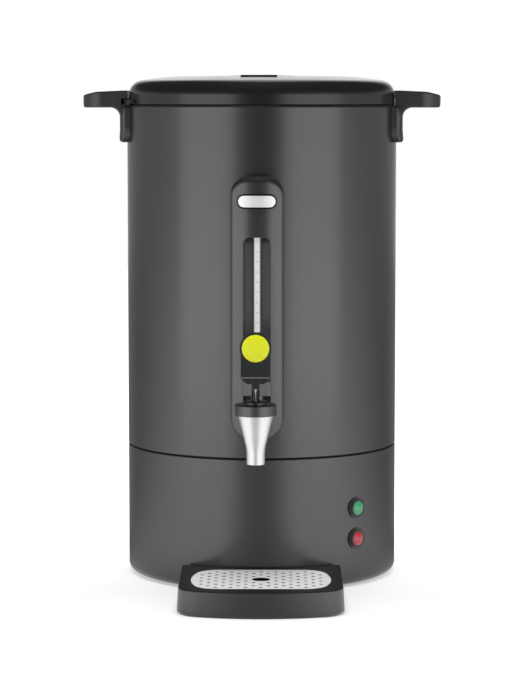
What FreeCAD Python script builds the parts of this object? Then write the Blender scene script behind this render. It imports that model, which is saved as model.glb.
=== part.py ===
import FreeCAD, Part
import math
import os

# Coffee urn. It stands on z = 0 with the axis of its body on Z, and its tap faces -Y.
# All lengths are in millimetres and all angles in degrees.

V = FreeCAD.Vector

# Body: two painted shells one above the other round a plain tank
body_radius = 134.0
body_top = 467.0
shell_wall = 1.0
skirt_wall = 1.2
top_roll = 2.0
lip_set_back = 0.5
wall_gap = 12.0
tank_wall = 1.0
tank_floor = 150.0
tank_round = 8.0
tank_flange = 9.0
well_radius = 27.0
well_depth = 16.0
well_round = 3.0
seam_level = 128.7
seam_height = 2.0
seam_sink = 0.8
seam_overlap = 12.0
seam_ring_wall = 2.5
seam_ring_gap = 0.1

# Underside
foot_height = 3.0
foot_width = 8.0
foot_inset = 25.0
skirt_bottom = 1.0
skirt_corner = 8.5
plate_inset = 14.0
plate_wall = 1.2
plate_edge_gap = 0.5
plate_raise = 6.0
plate_slope = 4.0
plate_foot_margin = 1.0
flange_width = 12.0
plate_vents = 10
plate_vent_length = 18.0
plate_vent_width = 4.0
plate_vent_radius = 60.0
plate_vent_turn = 18.0
plate_bend = 0.8
base_screw_count = 6
base_screw_end = 1.5
tie_rod_radius = 3.0
tie_shoulder_radius = 4.5
tie_rod_count = 3
tie_edge_margin = 8.0
tie_nut_height = 4.0
tie_nut_flats = 10.0
tie_rod_end = 0.4

# Screws: thread radius, head radius, head height
screw_radius = 2.0
screw_head_radius = 3.8
screw_head_height = 1.8
screw_length = 9.0
hole_clearance = 0.3
thread_clearance = 0.05
screw_seat_gap = 0.1
screw_end_gap = 0.4

# Share of half the width that a round end takes, so that a short flat stays
round_end = 0.98

# How far a cut runs past the faces that it opens
past = 5.0

# Angle at which the tap and the housing stand
front_angle = -90.0

# Heating under the tank
well_heater_height = 13.0
well_heater_wall = 6.0
well_heater_gap = 0.1
element_ring_radius = 64.0
element_tube_radius = 3.5
element_angle = 320.0
element_leg = 14.0
thermostat_radius = 12.0
thermostat_height = 14.0
cutout_radius = 8.0
cutout_height = 10.0
sensor_pitch_radius = 46.5
tab_width = 4.0
tab_length = 8.0
tab_wall = 0.8
thermostat_angle = 200.0
cutout_angle = 340.0
terminal_length = 50.0
terminal_width = 20.0
terminal_height = 14.0
terminal_offset = 52.0
terminal_ways = 5
terminal_hole_radius = 2.0
terminal_hole_rise = 5.6

# Signal lamps on the skirt
lamp_angle = -45.0
lamp_levels = (77.0, 47.0)
bezel_radius = 10.2
bezel_step_radius = 8.4
bezel_flange = 1.4
bezel_proud = 3.0
lens_radius = 6.6
lens_proud = 5.6
lens_seat_depth = 3.0
lamp_barrel_radius = 7.4
lamp_depth = 17.0
lamp_nut_flats = 20.0
lamp_nut_height = 4.0
lamp_fit = 0.15

# Mains inlet and switch at the back
panel_width = 48.0
panel_bottom = 20.0
panel_height = 92.0
panel_proud = 3.6
panel_seat_gap = 0.1
panel_corner = 6.0
panel_edge_round = 1.2
panel_screw_inset = 6.0
panel_screw_length = 10.6
inlet_level = 44.0
inlet_width = 24.0
inlet_height = 16.6
inlet_depth = 16.0
inlet_wall = 1.6
inlet_corner = 4.5
inlet_pin_width = 2.0
inlet_pin_height = 4.0
inlet_pin_spread = 7.0
inlet_pin_offset = 2.0
inlet_pin_length = 12.0
switch_level = 84.0
switch_width = 18.0
switch_height = 26.0
switch_wall = 2.0
switch_depth = 13.5
switch_tab_spread = 7.0
flange_lip = 2.0
flange_corner = 2.0
flange_thick = 1.5
insert_depth = 24.0
rocker_tilt = 8.0
rocker_gap = 0.35
rocker_swing_gap = 1.75
rocker_pivot_depth = 5.0
rocker_edge = 4.5
rocker_back_height = 8.0
rocker_back_depth = 3.0
rocker_axle_radius = 1.5
rocker_axle_reach = 1.2
rocker_axle_end_gap = 0.3
axle_clearance = 0.06

# Carrying handles
handle_reach = 43.7
handle_half_width = 24.0
handle_tip_radius = 20.0
handle_rounding = 1.6
leg_proud = 5.8
leg_flare = 1.0
leg_flare_height = 12.0
leg_bow = 20.0
leg_toe_round = 3.0
leg_drop = 36.8
leg_corner = 10.0
leg_wrap_half = 41.0
leg_wrap_corner = 15.0
tongue_under = 2.6
tongue_root_rise = 14.2
tongue_root_flat = 4.0
tongue_bow = 30.0
tongue_shoulder_back = 14.0
tongue_shoulder_drop = 1.2
tongue_tip_rise = 9.6
tongue_tip_rake = 0.6
tongue_tip_under = 2.5
tongue_tip_round = 3.0
tongue_fillet = 9.5
handle_fit = 0.15
handle_screw_spread = 13.0
handle_screw_drop = 15.0
slot_height = 6.0
slot_rise = 0.3
slot_depth = 6.4
slot_end_angle = 30.0

# Front housing, gauge tube and badge
housing_half_width = 25.5
housing_head = 57.5
housing_top_corner = 18.0
housing_drop = 21.4
housing_proud = 21.0
housing_face_radius = 60.0
housing_roll = 6.0
housing_wall = 2.5
channel_width = 25.7
channel_top = 343.0
channel_corner = 6.0
channel_floor_proud = 4.0
channel_wall = 2.0
housing_screw_top_drop = 14.0
housing_side_screw_rise = 25.0
housing_boss_radius = 4.2
badge_length = 35.4
badge_height = 11.6
badge_wall = 1.0
badge_drop = 23.5
tube_proud = 12.0
tube_radius = 5.0
tube_bore = 3.3
tube_above_channel = 9.0
tube_clearance = 0.25
cap_wall = 1.0
cap_height = 12.0
cap_press_gap = 0.02

# Tap, every level counted from the axis of its shank
tap_rise = 20.0
tap_reach = 54.0
shank_radius = 8.0
shank_bore = 5.0
shank_inner_length = 16.0
shank_flange_radius = 11.5
shank_flange = 3.0
shank_nut_flats = 24.0
shank_nut_height = 8.0
wall_gasket = 3.5
nozzle_rise = 9.3
nozzle_top_radius = 16.75
waist_drop = 22.0
waist_radius = 8.8
waist_blend = 30.0
mouth_drop = 37.0
mouth_radius = 8.45
nozzle_wall = 1.2
nozzle_gap = 0.35
chamber_radius = 9.5
seat_drop = 6.0
outlet_radius = 6.4
outlet_step = 3.0
outlet_inset = 3.0
bonnet_radius = 19.5
bonnet_height = 10.2
bonnet_wall = 3.5
bonnet_edge = 1.0
boss_radius = 11.0
boss_height = 3.0
port_radius = 7.6
port_rise = 26.0
port_seal = 2.0
gauge_nut_height = 13.0
gauge_nut_width = 24.0
gauge_nut_depth = 15.6
gauge_nut_rise = 23.0
gauge_nut_corner = 7.0
tube_foot_depth = 6.0
nut_clearance = 0.3
stem_radius = 1.75
stem_clearance = 0.08
stem_above_pin = 4.7
collar_lip = 2.5
collar_depth = 4.0
cup_radius = 8.2
cup_height = 9.0
stem_foot_rise = 2.0
cup_edge = 1.0
cup_plug_depth = 1.0
cup_plug_gap = 0.3
cup_plug_draft = 0.4
spring_radius = 5.6
spring_wall = 1.1

# Lever, its heel rolls on the boss of the bonnet
heel_arm = 6.0
heel_angle = 60.0
heel_radius = 2.5
heel_gap = 0.3
pin_radius = 0.9
pin_clearance = 0.05
stub_width = 7.2
stub_rise = 4.0
slot_side = 0.35
slot_above_stem = 1.2
stub_back = 3.6
stub_edge = 1.0
stub_bend = 2.0
slot_reach = 15.0
chin_rise = 10.2
chin_width = 15.0
chin_inset = 0.6
chin_corner = 3.0
block_rise = 15.7
block_width = 27.8
block_corner = 1.5
block_thick = 9.0
block_forward = 0.5
block_step = 1.6
disc_rise = 43.7
disc_radius = 14.8
cap_radius = 12.8
cap_sink = 1.6
cap_crown = 1.2
cap_fit = 0.1

# Lid
lid_inset = 1.4
rim_gap = 0.8
rim_draft = 0.9
lid_wall = 2.4
shoulder_rise = 22.6
shoulder_radius = 15.0
dome_radius = 95.0
dome_rise = 27.9
dome_blend = 200.0
recess_radius = 38.25
recess_rise = 28.6
recess_depth = 15.2
recess_draft = 2.0
recess_floor_round = 2.0
recess_edge_round = 1.0
lug_angle = 15.5
lug_half_angle = 4.2
lug_height = 4.6
lug_rise = 0.9
lug_reach = 5.6
lug_end_gap = 0.8
vent_width = 35.0
vent_radius = 95.0
vent_length = 15.0
vent_rise = 28.9
vent_fall = 0.9
vent_wall = 1.1
vent_side = 2.0
vent_slit = 1.6
grip_width = 18.0
grip_rise = 29.8
grip_crown = 300.0
grip_end_drop = 1.0
grip_end_round = 3.0
grip_side_gap = 0.6
grip_foot_round = 1.0
grip_edge = 3.0
grip_screw_spread = 22.0
grip_screw_grip = 7.5
liner_rise = 2.5
liner_wall = 2.0
plug_gap = 1.5
plug_depth = 12.0
plug_wall = 2.0
gasket_width = 4.5
gasket_gap = 3.0
liner_boss_radius = 4.5
liner_boss_pitch = 62.0
liner_boss_count = 4
liner_edge_gap = 0.3
steam_hole_radius = 4.0
steam_hole_turn = 12.0

# Percolator inside the tank
seat_gap = 0.05
pump_radius = 6.0
pump_wall = 1.0
pump_top = 452.0
bell_radius = 24.0
bell_rim = 4.0
bell_height = 15.0
bell_notch = 3.0
collar_radius = 9.5
collar_height = 4.0
basket_gap = 20.0
basket_height = 70.0
basket_bottom = 376.2
basket_wall = 1.0
basket_round = 6.0
basket_rim = 2.0
basket_tube_gap = 0.6
basket_tube_height = 62.0
cover_lip = 6.0
cover_fit = 0.5
cover_ring_radii = (32.0, 64.0)
cover_ring_counts = (8, 12)
basket_ring_radii = (24.0, 50.0, 76.0)
basket_ring_counts = (8, 16, 24)
sieve_hole = 1.6

# Drip tray, a loose piece that stands turned a little from the tap
tray_turn = 1.5
tray_width = 153.0
tray_draft = 1.4
tray_height = 24.3
tray_front = 124.3
tray_gap = 2.0
tray_front_corner = 24.0
tray_bow = 200.0
tray_rear_corner = 5.0
tray_foot_round = 2.5
tray_top_round = 0.8
tray_floor = 3.0
grille_length = 131.6
grille_depth = 98.0
grille_corner = 22.0
grille_bow = 120.0
grille_front = 20.2
grille_wall = 1.0
grille_sink = 0.6
grille_fit = 0.3
grille_ledge = 3.0
bow_straight = 2.0
grille_hole = 1.85
grille_hole_sides = 8
grille_pitch_x = 7.0
grille_pitch_y = 7.7
grille_columns = 17
grille_rows = 11
drain_radius = 8.75
drain_margin = 2.5

# Sizes that follow from those above
housing_top = channel_top + housing_head
shell_inner = body_radius - shell_wall
skirt_inner = body_radius - skirt_wall
tank_outer = shell_inner - wall_gap
tank_radius = tank_outer - tank_wall
shell_bottom = seam_level + seam_height
plate_radius = body_radius - plate_inset
plate_top = foot_height + plate_wall
raise_top = plate_top + plate_raise
foot_radius = body_radius - foot_inset
raise_radius = foot_radius - foot_width - plate_slope - plate_foot_margin
tie_pitch_radius = raise_radius - tie_edge_margin
tap_level = tank_floor + tap_rise
tap_y = -(body_radius + tap_reach)
tube_y = -(body_radius + tube_proud)
housing_y = -(body_radius + housing_proud)
channel_floor_y = -(body_radius + channel_floor_proud)
nozzle_top = tap_level + nozzle_rise
bonnet_top = nozzle_top + bonnet_height
boss_top = bonnet_top + boss_height
seat_level = tap_level - seat_drop
cup_top = seat_level + cup_height
heel_drop = heel_arm * math.cos(math.radians(heel_angle)) + heel_radius
pin_level = boss_top + heel_gap + heel_drop
lever_front = tap_y - block_thick / 2 - block_forward
block_bottom = pin_level + block_rise
disc_level = pin_level + disc_rise
panel_y = body_radius + panel_proud
lid_radius = body_radius - lid_inset
basket_radius = tank_radius - basket_gap
collar_top = basket_bottom - seat_gap
cover_bottom = basket_bottom + basket_height + seat_gap
port_top = tap_level + port_rise
tube_foot = port_top - tube_foot_depth
grille_front_y = -(body_radius + tray_front - grille_front)
grille_middle_y = grille_front_y + grille_depth / 2
grille_seat = tray_height - grille_sink - grille_wall


def flat_xy(level):
    return lambda p: V(p.x, p.y, level)


def flat_xz(depth):
    return lambda p: V(p.x, depth, p.y)


def flat_yz(side):
    return lambda p: V(side, p.x, p.y)


def outline(corners, place):
    # A closed wire through corners (u, v) or (u, v, radius); a radius rounds its corner.
    points = [V(c[0], c[1], 0) for c in corners]
    radii = [c[2] if len(c) > 2 else 0.0 for c in corners]
    turns = []
    for i, point in enumerate(points):
        if not radii[i]:
            turns.append((point, None, point))
            continue
        to_last = (points[i - 1] - point).normalize()
        to_next = (points[(i + 1) % len(points)] - point).normalize()
        half = to_last.getAngle(to_next) / 2
        bisector = (to_last + to_next).normalize()
        back = radii[i] / math.tan(half)
        middle = point + bisector * (radii[i] / math.sin(half) - radii[i])
        turns.append((point + to_last * back, middle, point + to_next * back))
    edges = []
    for i, (enter, middle, leave) in enumerate(turns):
        if middle is not None:
            edges.append(Part.Arc(place(enter), place(middle), place(leave)).toShape())
        following = turns[(i + 1) % len(turns)][0]
        if (following - leave).Length > 1e-6:
            edges.append(Part.makeLine(place(leave), place(following)))
    return Part.Wire(edges)


def revolved(corners, angle=360.0):
    # A solid of revolution about Z from corners (radius, level).
    return Part.Face(outline(corners, flat_xz(0))).revolve(V(0, 0, 0), V(0, 0, 1), angle)


def prism(wire, way):
    return Part.Face(wire).extrude(way)


def rod(radius, start, end):
    return Part.makeCylinder(radius, (end - start).Length, start, end - start)


def tube(radius, bore, start, end):
    return rod(radius, start, end).cut(rod(bore, start, end))


def ring(outer, inner, bottom, top):
    return tube(outer, inner, V(0, 0, bottom), V(0, 0, top))


def block(x_range, y_range, z_range):
    low = V(min(x_range), min(y_range), min(z_range))
    high = V(max(x_range), max(y_range), max(z_range))
    size = high - low
    return Part.makeBox(size.x, size.y, size.z, low)


def polygon(sides, radius, middle):
    # A flat regular polygon face across Z, its corners at the given radius.
    steps = [math.radians(360.0 * (i + 0.5) / sides) for i in range(sides)]
    points = [middle + V(radius * math.cos(a), radius * math.sin(a), 0) for a in steps]
    return Part.Face(Part.makePolygon(points + points[:1]))


def hexagon(flats, start, end):
    # A hexagonal bar between two points.
    way = end - start
    bar = polygon(6, flats / math.sqrt(3), V(0, 0, 0)).extrude(V(0, 0, way.Length))
    return set_along(bar, start, way)


def domed_rod(radius, shoulder, top):
    # A rod on Z from 0 with a domed end: straight up to shoulder, its crown at top.
    crown = top - shoulder
    dome = (radius ** 2 + crown ** 2) / (2 * crown)
    half_x = radius / 2
    halfway = V(half_x, 0, top - dome + math.sqrt(dome ** 2 - half_x ** 2))
    side = Part.makePolygon([V(0, 0, top), V(0, 0, 0), V(radius, 0, 0), V(radius, 0, shoulder)])
    arc = Part.Arc(V(radius, 0, shoulder), halfway, V(0, 0, top)).toShape()
    return Part.Face(Part.Wire(side.Edges + [arc])).revolve(V(0, 0, 0), V(0, 0, 1), 360)


def set_along(shape, start, way):
    # Moves a shape built up from the origin so that it starts at a point and points along way.
    copy = shape.copy()
    copy.Placement = FreeCAD.Placement(start, FreeCAD.Rotation(V(0, 0, 1), way))
    return copy


def turned(shape, angle):
    copy = shape.copy()
    copy.rotate(V(0, 0, 0), V(0, 0, 1), angle)
    return copy


def spread(shape, angles):
    return [turned(shape, angle) for angle in angles]


def evenly(count, first=0.0):
    return [first + 360.0 * i / count for i in range(count)]


def joined(shapes):
    whole = shapes[0]
    for shape in shapes[1:]:
        whole = whole.fuse(shape)
    return whole.removeSplitter()


def group(shapes):
    return Part.makeCompound(shapes)


def radial(radius, angle, level):
    turn = math.radians(angle)
    return V(radius * math.cos(turn), radius * math.sin(turn), level)


def radial_rod(radius, inside, outside, angle, level):
    return rod(radius, radial(inside, angle, level), radial(outside, angle, level))


def wall_screws(places):
    # Screws from inside the outer shell outwards, each at a place (angle, level).
    seat = shell_inner - screw_seat_gap
    tip = seat + screw_length - screw_head_height - screw_end_gap
    screws = []
    for angle, level in places:
        screws.append(screw(radial(seat, angle, level), radial(tip, angle, level)))
    return group(screws)


def wall_rods(radius, places):
    # Rods through the wall of the outer shell at places (angle, level).
    inside = tank_outer + past
    outside = body_radius + past
    return [radial_rod(radius, inside, outside, angle, level) for angle, level in places]


def screw(head, tip):
    # A pan head screw: its head stands before the point head, its thread ends at the point tip.
    way = (tip - head).normalize()
    return joined([
        rod(screw_head_radius, head - way * screw_head_height, head),
        rod(screw_radius, head, tip),
    ])


def front_axis(level, near, far):
    # Two points on the line through the tap at this level, at these distances in front of the axis.
    return V(0, -near, level), V(0, -far, level)


# Places of the screws, used by the pieces on both sides of each joint
handle_screw_turn = math.degrees(math.asin(handle_screw_spread / body_radius))
handle_screw_level = body_top - handle_screw_drop
handle_screw_angles = [
    side + turn for side in (0.0, 180.0) for turn in (-handle_screw_turn, handle_screw_turn)
]
housing_boss_offset = (channel_width / 2 + channel_wall + housing_half_width - housing_wall) / 2
housing_side_turn = math.degrees(math.asin(housing_boss_offset / body_radius))
housing_side_level = tap_level + housing_side_screw_rise
housing_screw_places = [
    (front_angle, housing_top - housing_screw_top_drop),
    (front_angle - housing_side_turn, housing_side_level),
    (front_angle + housing_side_turn, housing_side_level),
]
tie_angles = evenly(tie_rod_count, -front_angle)
liner_boss_angles = evenly(liner_boss_count, 45.0)
base_screw_pitch = plate_radius - flange_width / 2
base_screw_angles = evenly(base_screw_count, 0.0)
panel_screw_levels = (
    panel_bottom + panel_screw_inset,
    panel_bottom + panel_height - panel_screw_inset,
)


def outer_shell():
    shell = revolved([
        (body_radius, shell_bottom),
        (body_radius, body_top, top_roll),
        (tank_radius + lip_set_back, body_top),
        (tank_radius + lip_set_back, body_top - shell_wall),
        (shell_inner, body_top - shell_wall),
        (shell_inner, shell_bottom),
    ])
    shank_hole = rod(
        shank_flange_radius + hole_clearance,
        *front_axis(tap_level, tank_outer + past, body_radius + past),
    )
    places = housing_screw_places + [(angle, handle_screw_level) for angle in handle_screw_angles]
    return shell.cut(group([shank_hole] + wall_rods(screw_radius + hole_clearance, places)))


def inner_tank():
    well_floor = tank_floor - well_depth
    flange_top = body_top - shell_wall
    well_outer = well_radius + tank_wall
    tank = revolved([
        (0, well_floor),
        (well_radius, well_floor, well_round),
        (well_radius, tank_floor),
        (tank_radius, tank_floor, tank_round),
        (tank_radius, flange_top),
        (tank_outer + tank_flange, flange_top),
        (tank_outer + tank_flange, flange_top - tank_wall),
        (tank_outer, flange_top - tank_wall),
        (tank_outer, tank_floor - tank_wall, tank_round + tank_wall),
        (well_outer, tank_floor - tank_wall),
        (well_outer, well_floor - tank_wall, well_round + tank_wall),
        (0, well_floor - tank_wall),
    ])
    shank_hole = rod(
        shank_radius + hole_clearance,
        *front_axis(tap_level, tank_radius - past, tank_outer + past),
    )
    return tank.cut(shank_hole)


def seam_ring():
    outer = skirt_inner - seam_ring_gap
    inner = outer - seam_ring_wall
    return revolved([
        (inner, seam_level - seam_overlap),
        (outer, seam_level - seam_overlap),
        (outer, seam_level),
        (body_radius - seam_sink, seam_level),
        (body_radius - seam_sink, shell_bottom),
        (outer, shell_bottom),
        (outer, shell_bottom + seam_overlap),
        (inner, shell_bottom + seam_overlap),
    ])


def rear_insert_hole(width, height, level):
    return block(
        (-width / 2, width / 2),
        (body_radius - insert_depth, panel_y + past),
        (level - height / 2, level + height / 2),
    )


def inlet_hole():
    grow = 2 * (inlet_wall + hole_clearance)
    return rear_insert_hole(inlet_width + grow, inlet_height + grow, inlet_level)


def switch_hole():
    grow = 2 * (switch_wall + hole_clearance)
    return rear_insert_hole(switch_width + grow, switch_height + grow, switch_level)


def panel_screw_rods(radius):
    inside = skirt_inner - past
    return [rod(radius, V(0, inside, level), V(0, panel_y + past, level)) for level in panel_screw_levels]


def base_skirt():
    step = plate_radius + plate_edge_gap
    return_top = plate_top + skirt_wall
    skirt = revolved([
        (body_radius, seam_level),
        (body_radius, skirt_bottom, skirt_corner),
        (step, skirt_bottom),
        (step, plate_top),
        (plate_radius - flange_width, plate_top),
        (plate_radius - flange_width, return_top),
        (step + skirt_wall, return_top),
        (step + skirt_wall, skirt_bottom + skirt_wall),
        (skirt_inner, skirt_bottom + skirt_wall, skirt_corner - skirt_wall),
        (skirt_inner, seam_level),
    ])
    holes = [
        radial_rod(
            lamp_barrel_radius + lamp_fit, skirt_inner - past, body_radius + past, lamp_angle, level,
        )
        for level in lamp_levels
    ]
    holes += panel_screw_rods(screw_radius + hole_clearance)
    holes += [inlet_hole(), switch_hole()]
    thread = rod(
        screw_radius + thread_clearance,
        V(base_screw_pitch, 0, 0), V(base_screw_pitch, 0, return_top + past),
    )
    holes += spread(thread, base_screw_angles)
    return skirt.cut(group(holes))


def base_plate():
    plate = revolved([
        (0, raise_top - plate_wall),
        (raise_radius, raise_top - plate_wall),
        (raise_radius + plate_slope, foot_height),
        (plate_radius, foot_height),
        (plate_radius, plate_top),
        (raise_radius + plate_slope + plate_bend, plate_top),
        (raise_radius + plate_bend, raise_top),
        (0, raise_top),
    ])
    up = V(0, 0, raise_top + past)
    screw_middle = V(base_screw_pitch, 0, 0)
    rod_middle = V(tie_pitch_radius, 0, 0)
    screw_hole = rod(screw_radius + hole_clearance, screw_middle, screw_middle + up)
    rod_hole = rod(tie_rod_radius + hole_clearance, rod_middle, rod_middle + up)
    inner = plate_vent_radius - plate_vent_length / 2
    outer = plate_vent_radius + plate_vent_length / 2
    half = plate_vent_width / 2
    end = half * round_end
    slot = prism(outline([
        (inner, -half, end), (outer, -half, end), (outer, half, end), (inner, half, end),
    ], flat_xy(0)), up)
    vents = spread(slot, evenly(plate_vents, plate_vent_turn))
    return plate.cut(group(spread(screw_hole, base_screw_angles) + spread(rod_hole, tie_angles) + vents))


def foot_ring():
    return ring(foot_radius, foot_radius - foot_width, 0, foot_height)


def base_screws():
    seat = V(base_screw_pitch, 0, foot_height)
    tip = V(base_screw_pitch, 0, plate_top + skirt_wall + base_screw_end)
    return group(spread(screw(seat, tip), base_screw_angles))


def tie_rods():
    nut_bottom = raise_top - plate_wall - tie_nut_height
    foot = V(tie_pitch_radius, 0, nut_bottom - tie_rod_end)
    shoulder = V(tie_pitch_radius, 0, raise_top)
    head = V(tie_pitch_radius, 0, tank_floor - tank_wall)
    stud = joined([rod(tie_rod_radius, foot, shoulder), rod(tie_shoulder_radius, shoulder, head)])
    return group(spread(stud, tie_angles))


def tie_nuts():
    top = raise_top - plate_wall
    start = V(tie_pitch_radius, 0, top - tie_nut_height)
    end = V(tie_pitch_radius, 0, top)
    nut = hexagon(tie_nut_flats, start, end)
    bore = rod(tie_rod_radius + thread_clearance, start, end)
    return group(spread(nut.cut(bore), tie_angles))


def tab(x, y, top):
    # A flat push-on terminal pointing down from the level top.
    return block(
        (x - tab_wall / 2, x + tab_wall / 2),
        (y - tab_width / 2, y + tab_width / 2),
        (top - tab_length, top),
    )


def well_heater():
    inner = well_radius + tank_wall + well_heater_gap
    outer = inner + well_heater_wall
    top = tank_floor - tank_wall
    band = ring(outer, inner, top - well_heater_height, top)
    middle = (inner + outer) / 2
    tabs = [tab(x, 0, top - well_heater_height) for x in (-middle, middle)]
    return joined([band] + tabs)


def keep_warm_element():
    level = tank_floor - tank_wall - element_tube_radius
    circle = Part.makeCircle(element_tube_radius, V(element_ring_radius, 0, level), V(0, 1, 0))
    section = Part.Face(Part.Wire(circle))
    first = 90.0 + (360.0 - element_angle) / 2
    coil = turned(section.revolve(V(0, 0, 0), V(0, 0, 1), element_angle), first)
    legs = []
    for angle in (first, first + element_angle):
        top = radial(element_ring_radius, angle, level)
        ball = Part.makeSphere(element_tube_radius, top)
        legs.append(ball.fuse(rod(element_tube_radius, top, top - V(0, 0, element_leg))))
    return joined([coil] + legs)


def sensor(radius, height, angle):
    # A round sensor pressed against the tank floor, with two terminals.
    top = tank_floor - tank_wall
    place = radial(sensor_pitch_radius, angle, top)
    body = rod(radius, place - V(0, 0, height), place)
    tabs = [tab(place.x + side * radius / 2, place.y, top - height) for side in (-1, 1)]
    return joined([body] + tabs)


def thermostat():
    return sensor(thermostat_radius, thermostat_height, thermostat_angle)


def thermal_cutout():
    return sensor(cutout_radius, cutout_height, cutout_angle)


def terminal_block():
    body = block(
        (-terminal_length / 2, terminal_length / 2),
        (terminal_offset - terminal_width / 2, terminal_offset + terminal_width / 2),
        (raise_top, raise_top + terminal_height),
    )
    pitch = terminal_length / terminal_ways
    level = raise_top + terminal_hole_rise
    holes = []
    for i in range(terminal_ways):
        x = -terminal_length / 2 + pitch * (i + 0.5)
        front = V(x, terminal_offset - terminal_width, level)
        back = V(x, terminal_offset + terminal_width, level)
        holes.append(rod(terminal_hole_radius, front, back))
    return body.cut(group(holes))


def lamp_bezel(level):
    seat = body_radius
    parts = [
        radial_rod(bezel_radius, seat, seat + bezel_flange, lamp_angle, level),
        radial_rod(bezel_step_radius, seat, seat + bezel_proud, lamp_angle, level),
        radial_rod(lamp_barrel_radius, seat - lamp_depth, seat, lamp_angle, level),
    ]
    floor = seat - lens_seat_depth
    pocket = radial_rod(lens_radius + lamp_fit, floor, seat + bezel_proud + past, lamp_angle, level)
    return joined(parts).cut(pocket)


def lens(level):
    # A clear cap with a domed end in the pocket of its bezel.
    cap = domed_rod(lens_radius, lens_seat_depth + bezel_proud, lens_seat_depth + lens_proud)
    foot = radial(body_radius - lens_seat_depth, lamp_angle, level)
    return set_along(cap, foot, radial(1, lamp_angle, 0))


def lamp_nuts():
    corner_radius = lamp_nut_flats / math.sqrt(3)
    outside = math.sqrt(skirt_inner ** 2 - corner_radius ** 2) - thread_clearance
    inside = outside - lamp_nut_height
    nuts = []
    for level in lamp_levels:
        start = radial(inside, lamp_angle, level)
        end = radial(outside, lamp_angle, level)
        nut = hexagon(lamp_nut_flats, start, end)
        bore = radial_rod(lamp_barrel_radius + thread_clearance, inside, outside, lamp_angle, level)
        nuts.append(nut.cut(bore))
    return group(nuts)


def rear_panel():
    half = panel_width / 2
    top = panel_bottom + panel_height
    face = outline([
        (-half, panel_bottom, panel_corner), (half, panel_bottom, panel_corner),
        (half, top, panel_corner), (-half, top, panel_corner),
    ], flat_xz(skirt_inner - past))
    plate = prism(face, V(0, panel_y - skirt_inner + past, 0))
    outer_edges = [e for e in plate.Edges if all(abs(v.Point.y - panel_y) < 1e-6 for v in e.Vertexes)]
    plate = plate.makeFillet(panel_edge_round, outer_edges)
    body = rod(body_radius + panel_seat_gap, V(0, 0, 0), V(0, 0, seam_level))
    holes = panel_screw_rods(screw_radius + hole_clearance)
    return plate.cut(group([body, inlet_hole(), switch_hole()] + holes))


def panel_screws():
    tip = panel_y - panel_screw_length
    return group([screw(V(0, panel_y, level), V(0, tip, level)) for level in panel_screw_levels])


def insert_body(width, height, wall, level):
    # A box that passes through the panel and the skirt, with a lip that rests on the panel.
    half_x = width / 2 + wall
    half_z = height / 2 + wall
    lip_x = half_x + flange_lip
    lip_z = half_z + flange_lip
    lip = prism(outline([
        (-lip_x, level - lip_z, flange_corner), (lip_x, level - lip_z, flange_corner),
        (lip_x, level + lip_z, flange_corner), (-lip_x, level + lip_z, flange_corner),
    ], flat_xz(panel_y)), V(0, flange_thick, 0))
    back = body_radius - insert_depth
    box = block((-half_x, half_x), (back, panel_y), (level - half_z, level + half_z))
    return joined([box, lip])


def inlet_pin_places():
    return [
        (-inlet_pin_spread, inlet_level - inlet_pin_offset),
        (0.0, inlet_level + inlet_pin_offset),
        (inlet_pin_spread, inlet_level - inlet_pin_offset),
    ]


def inlet_pin(x, level, grow):
    floor = panel_y + flange_thick - inlet_depth
    half_x = inlet_pin_width / 2 + grow
    half_z = inlet_pin_height / 2 + grow
    return block(
        (x - half_x, x + half_x),
        (body_radius - insert_depth - tab_length, floor + inlet_pin_length),
        (level - half_z, level + half_z),
    )


def inlet_socket():
    body = insert_body(inlet_width, inlet_height, inlet_wall, inlet_level)
    half = inlet_width / 2
    bottom = inlet_level - inlet_height / 2
    top = inlet_level + inlet_height / 2
    mouth = panel_y + flange_thick
    recess = prism(outline([
        (-half, bottom), (half, bottom),
        (half, top - inlet_corner), (half - inlet_corner, top),
        (-half + inlet_corner, top), (-half, top - inlet_corner),
    ], flat_xz(mouth - inlet_depth)), V(0, inlet_depth + past, 0))
    pins = [inlet_pin(x, level, thread_clearance) for x, level in inlet_pin_places()]
    return body.cut(group([recess] + pins))


def inlet_pins():
    return group([inlet_pin(x, level, 0.0) for x, level in inlet_pin_places()])


def rocker_axle(radius, reach):
    half = switch_width / 2 + reach
    pivot_y = panel_y - rocker_pivot_depth
    return rod(radius, V(-half, pivot_y, switch_level), V(half, pivot_y, switch_level))


def switch_housing():
    body = insert_body(switch_width, switch_height, switch_wall, switch_level)
    mouth = panel_y + flange_thick
    opening = block(
        (-switch_width / 2, switch_width / 2),
        (mouth - switch_depth, mouth + past),
        (switch_level - switch_height / 2, switch_level + switch_height / 2),
    )
    axle = rocker_axle(rocker_axle_radius + axle_clearance, rocker_axle_reach + rocker_axle_end_gap)
    levels = (switch_level - switch_tab_spread, switch_level + switch_tab_spread)
    return joined([body.cut(group([opening, axle]))] + [switch_tab(level) for level in levels])


def switch_tab(level):
    # A flat terminal pointing inwards from the back of the switch.
    back = body_radius - insert_depth
    return block(
        (-tab_width / 2, tab_width / 2),
        (back - tab_length, back),
        (level - tab_wall / 2, level + tab_wall / 2),
    )


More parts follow.
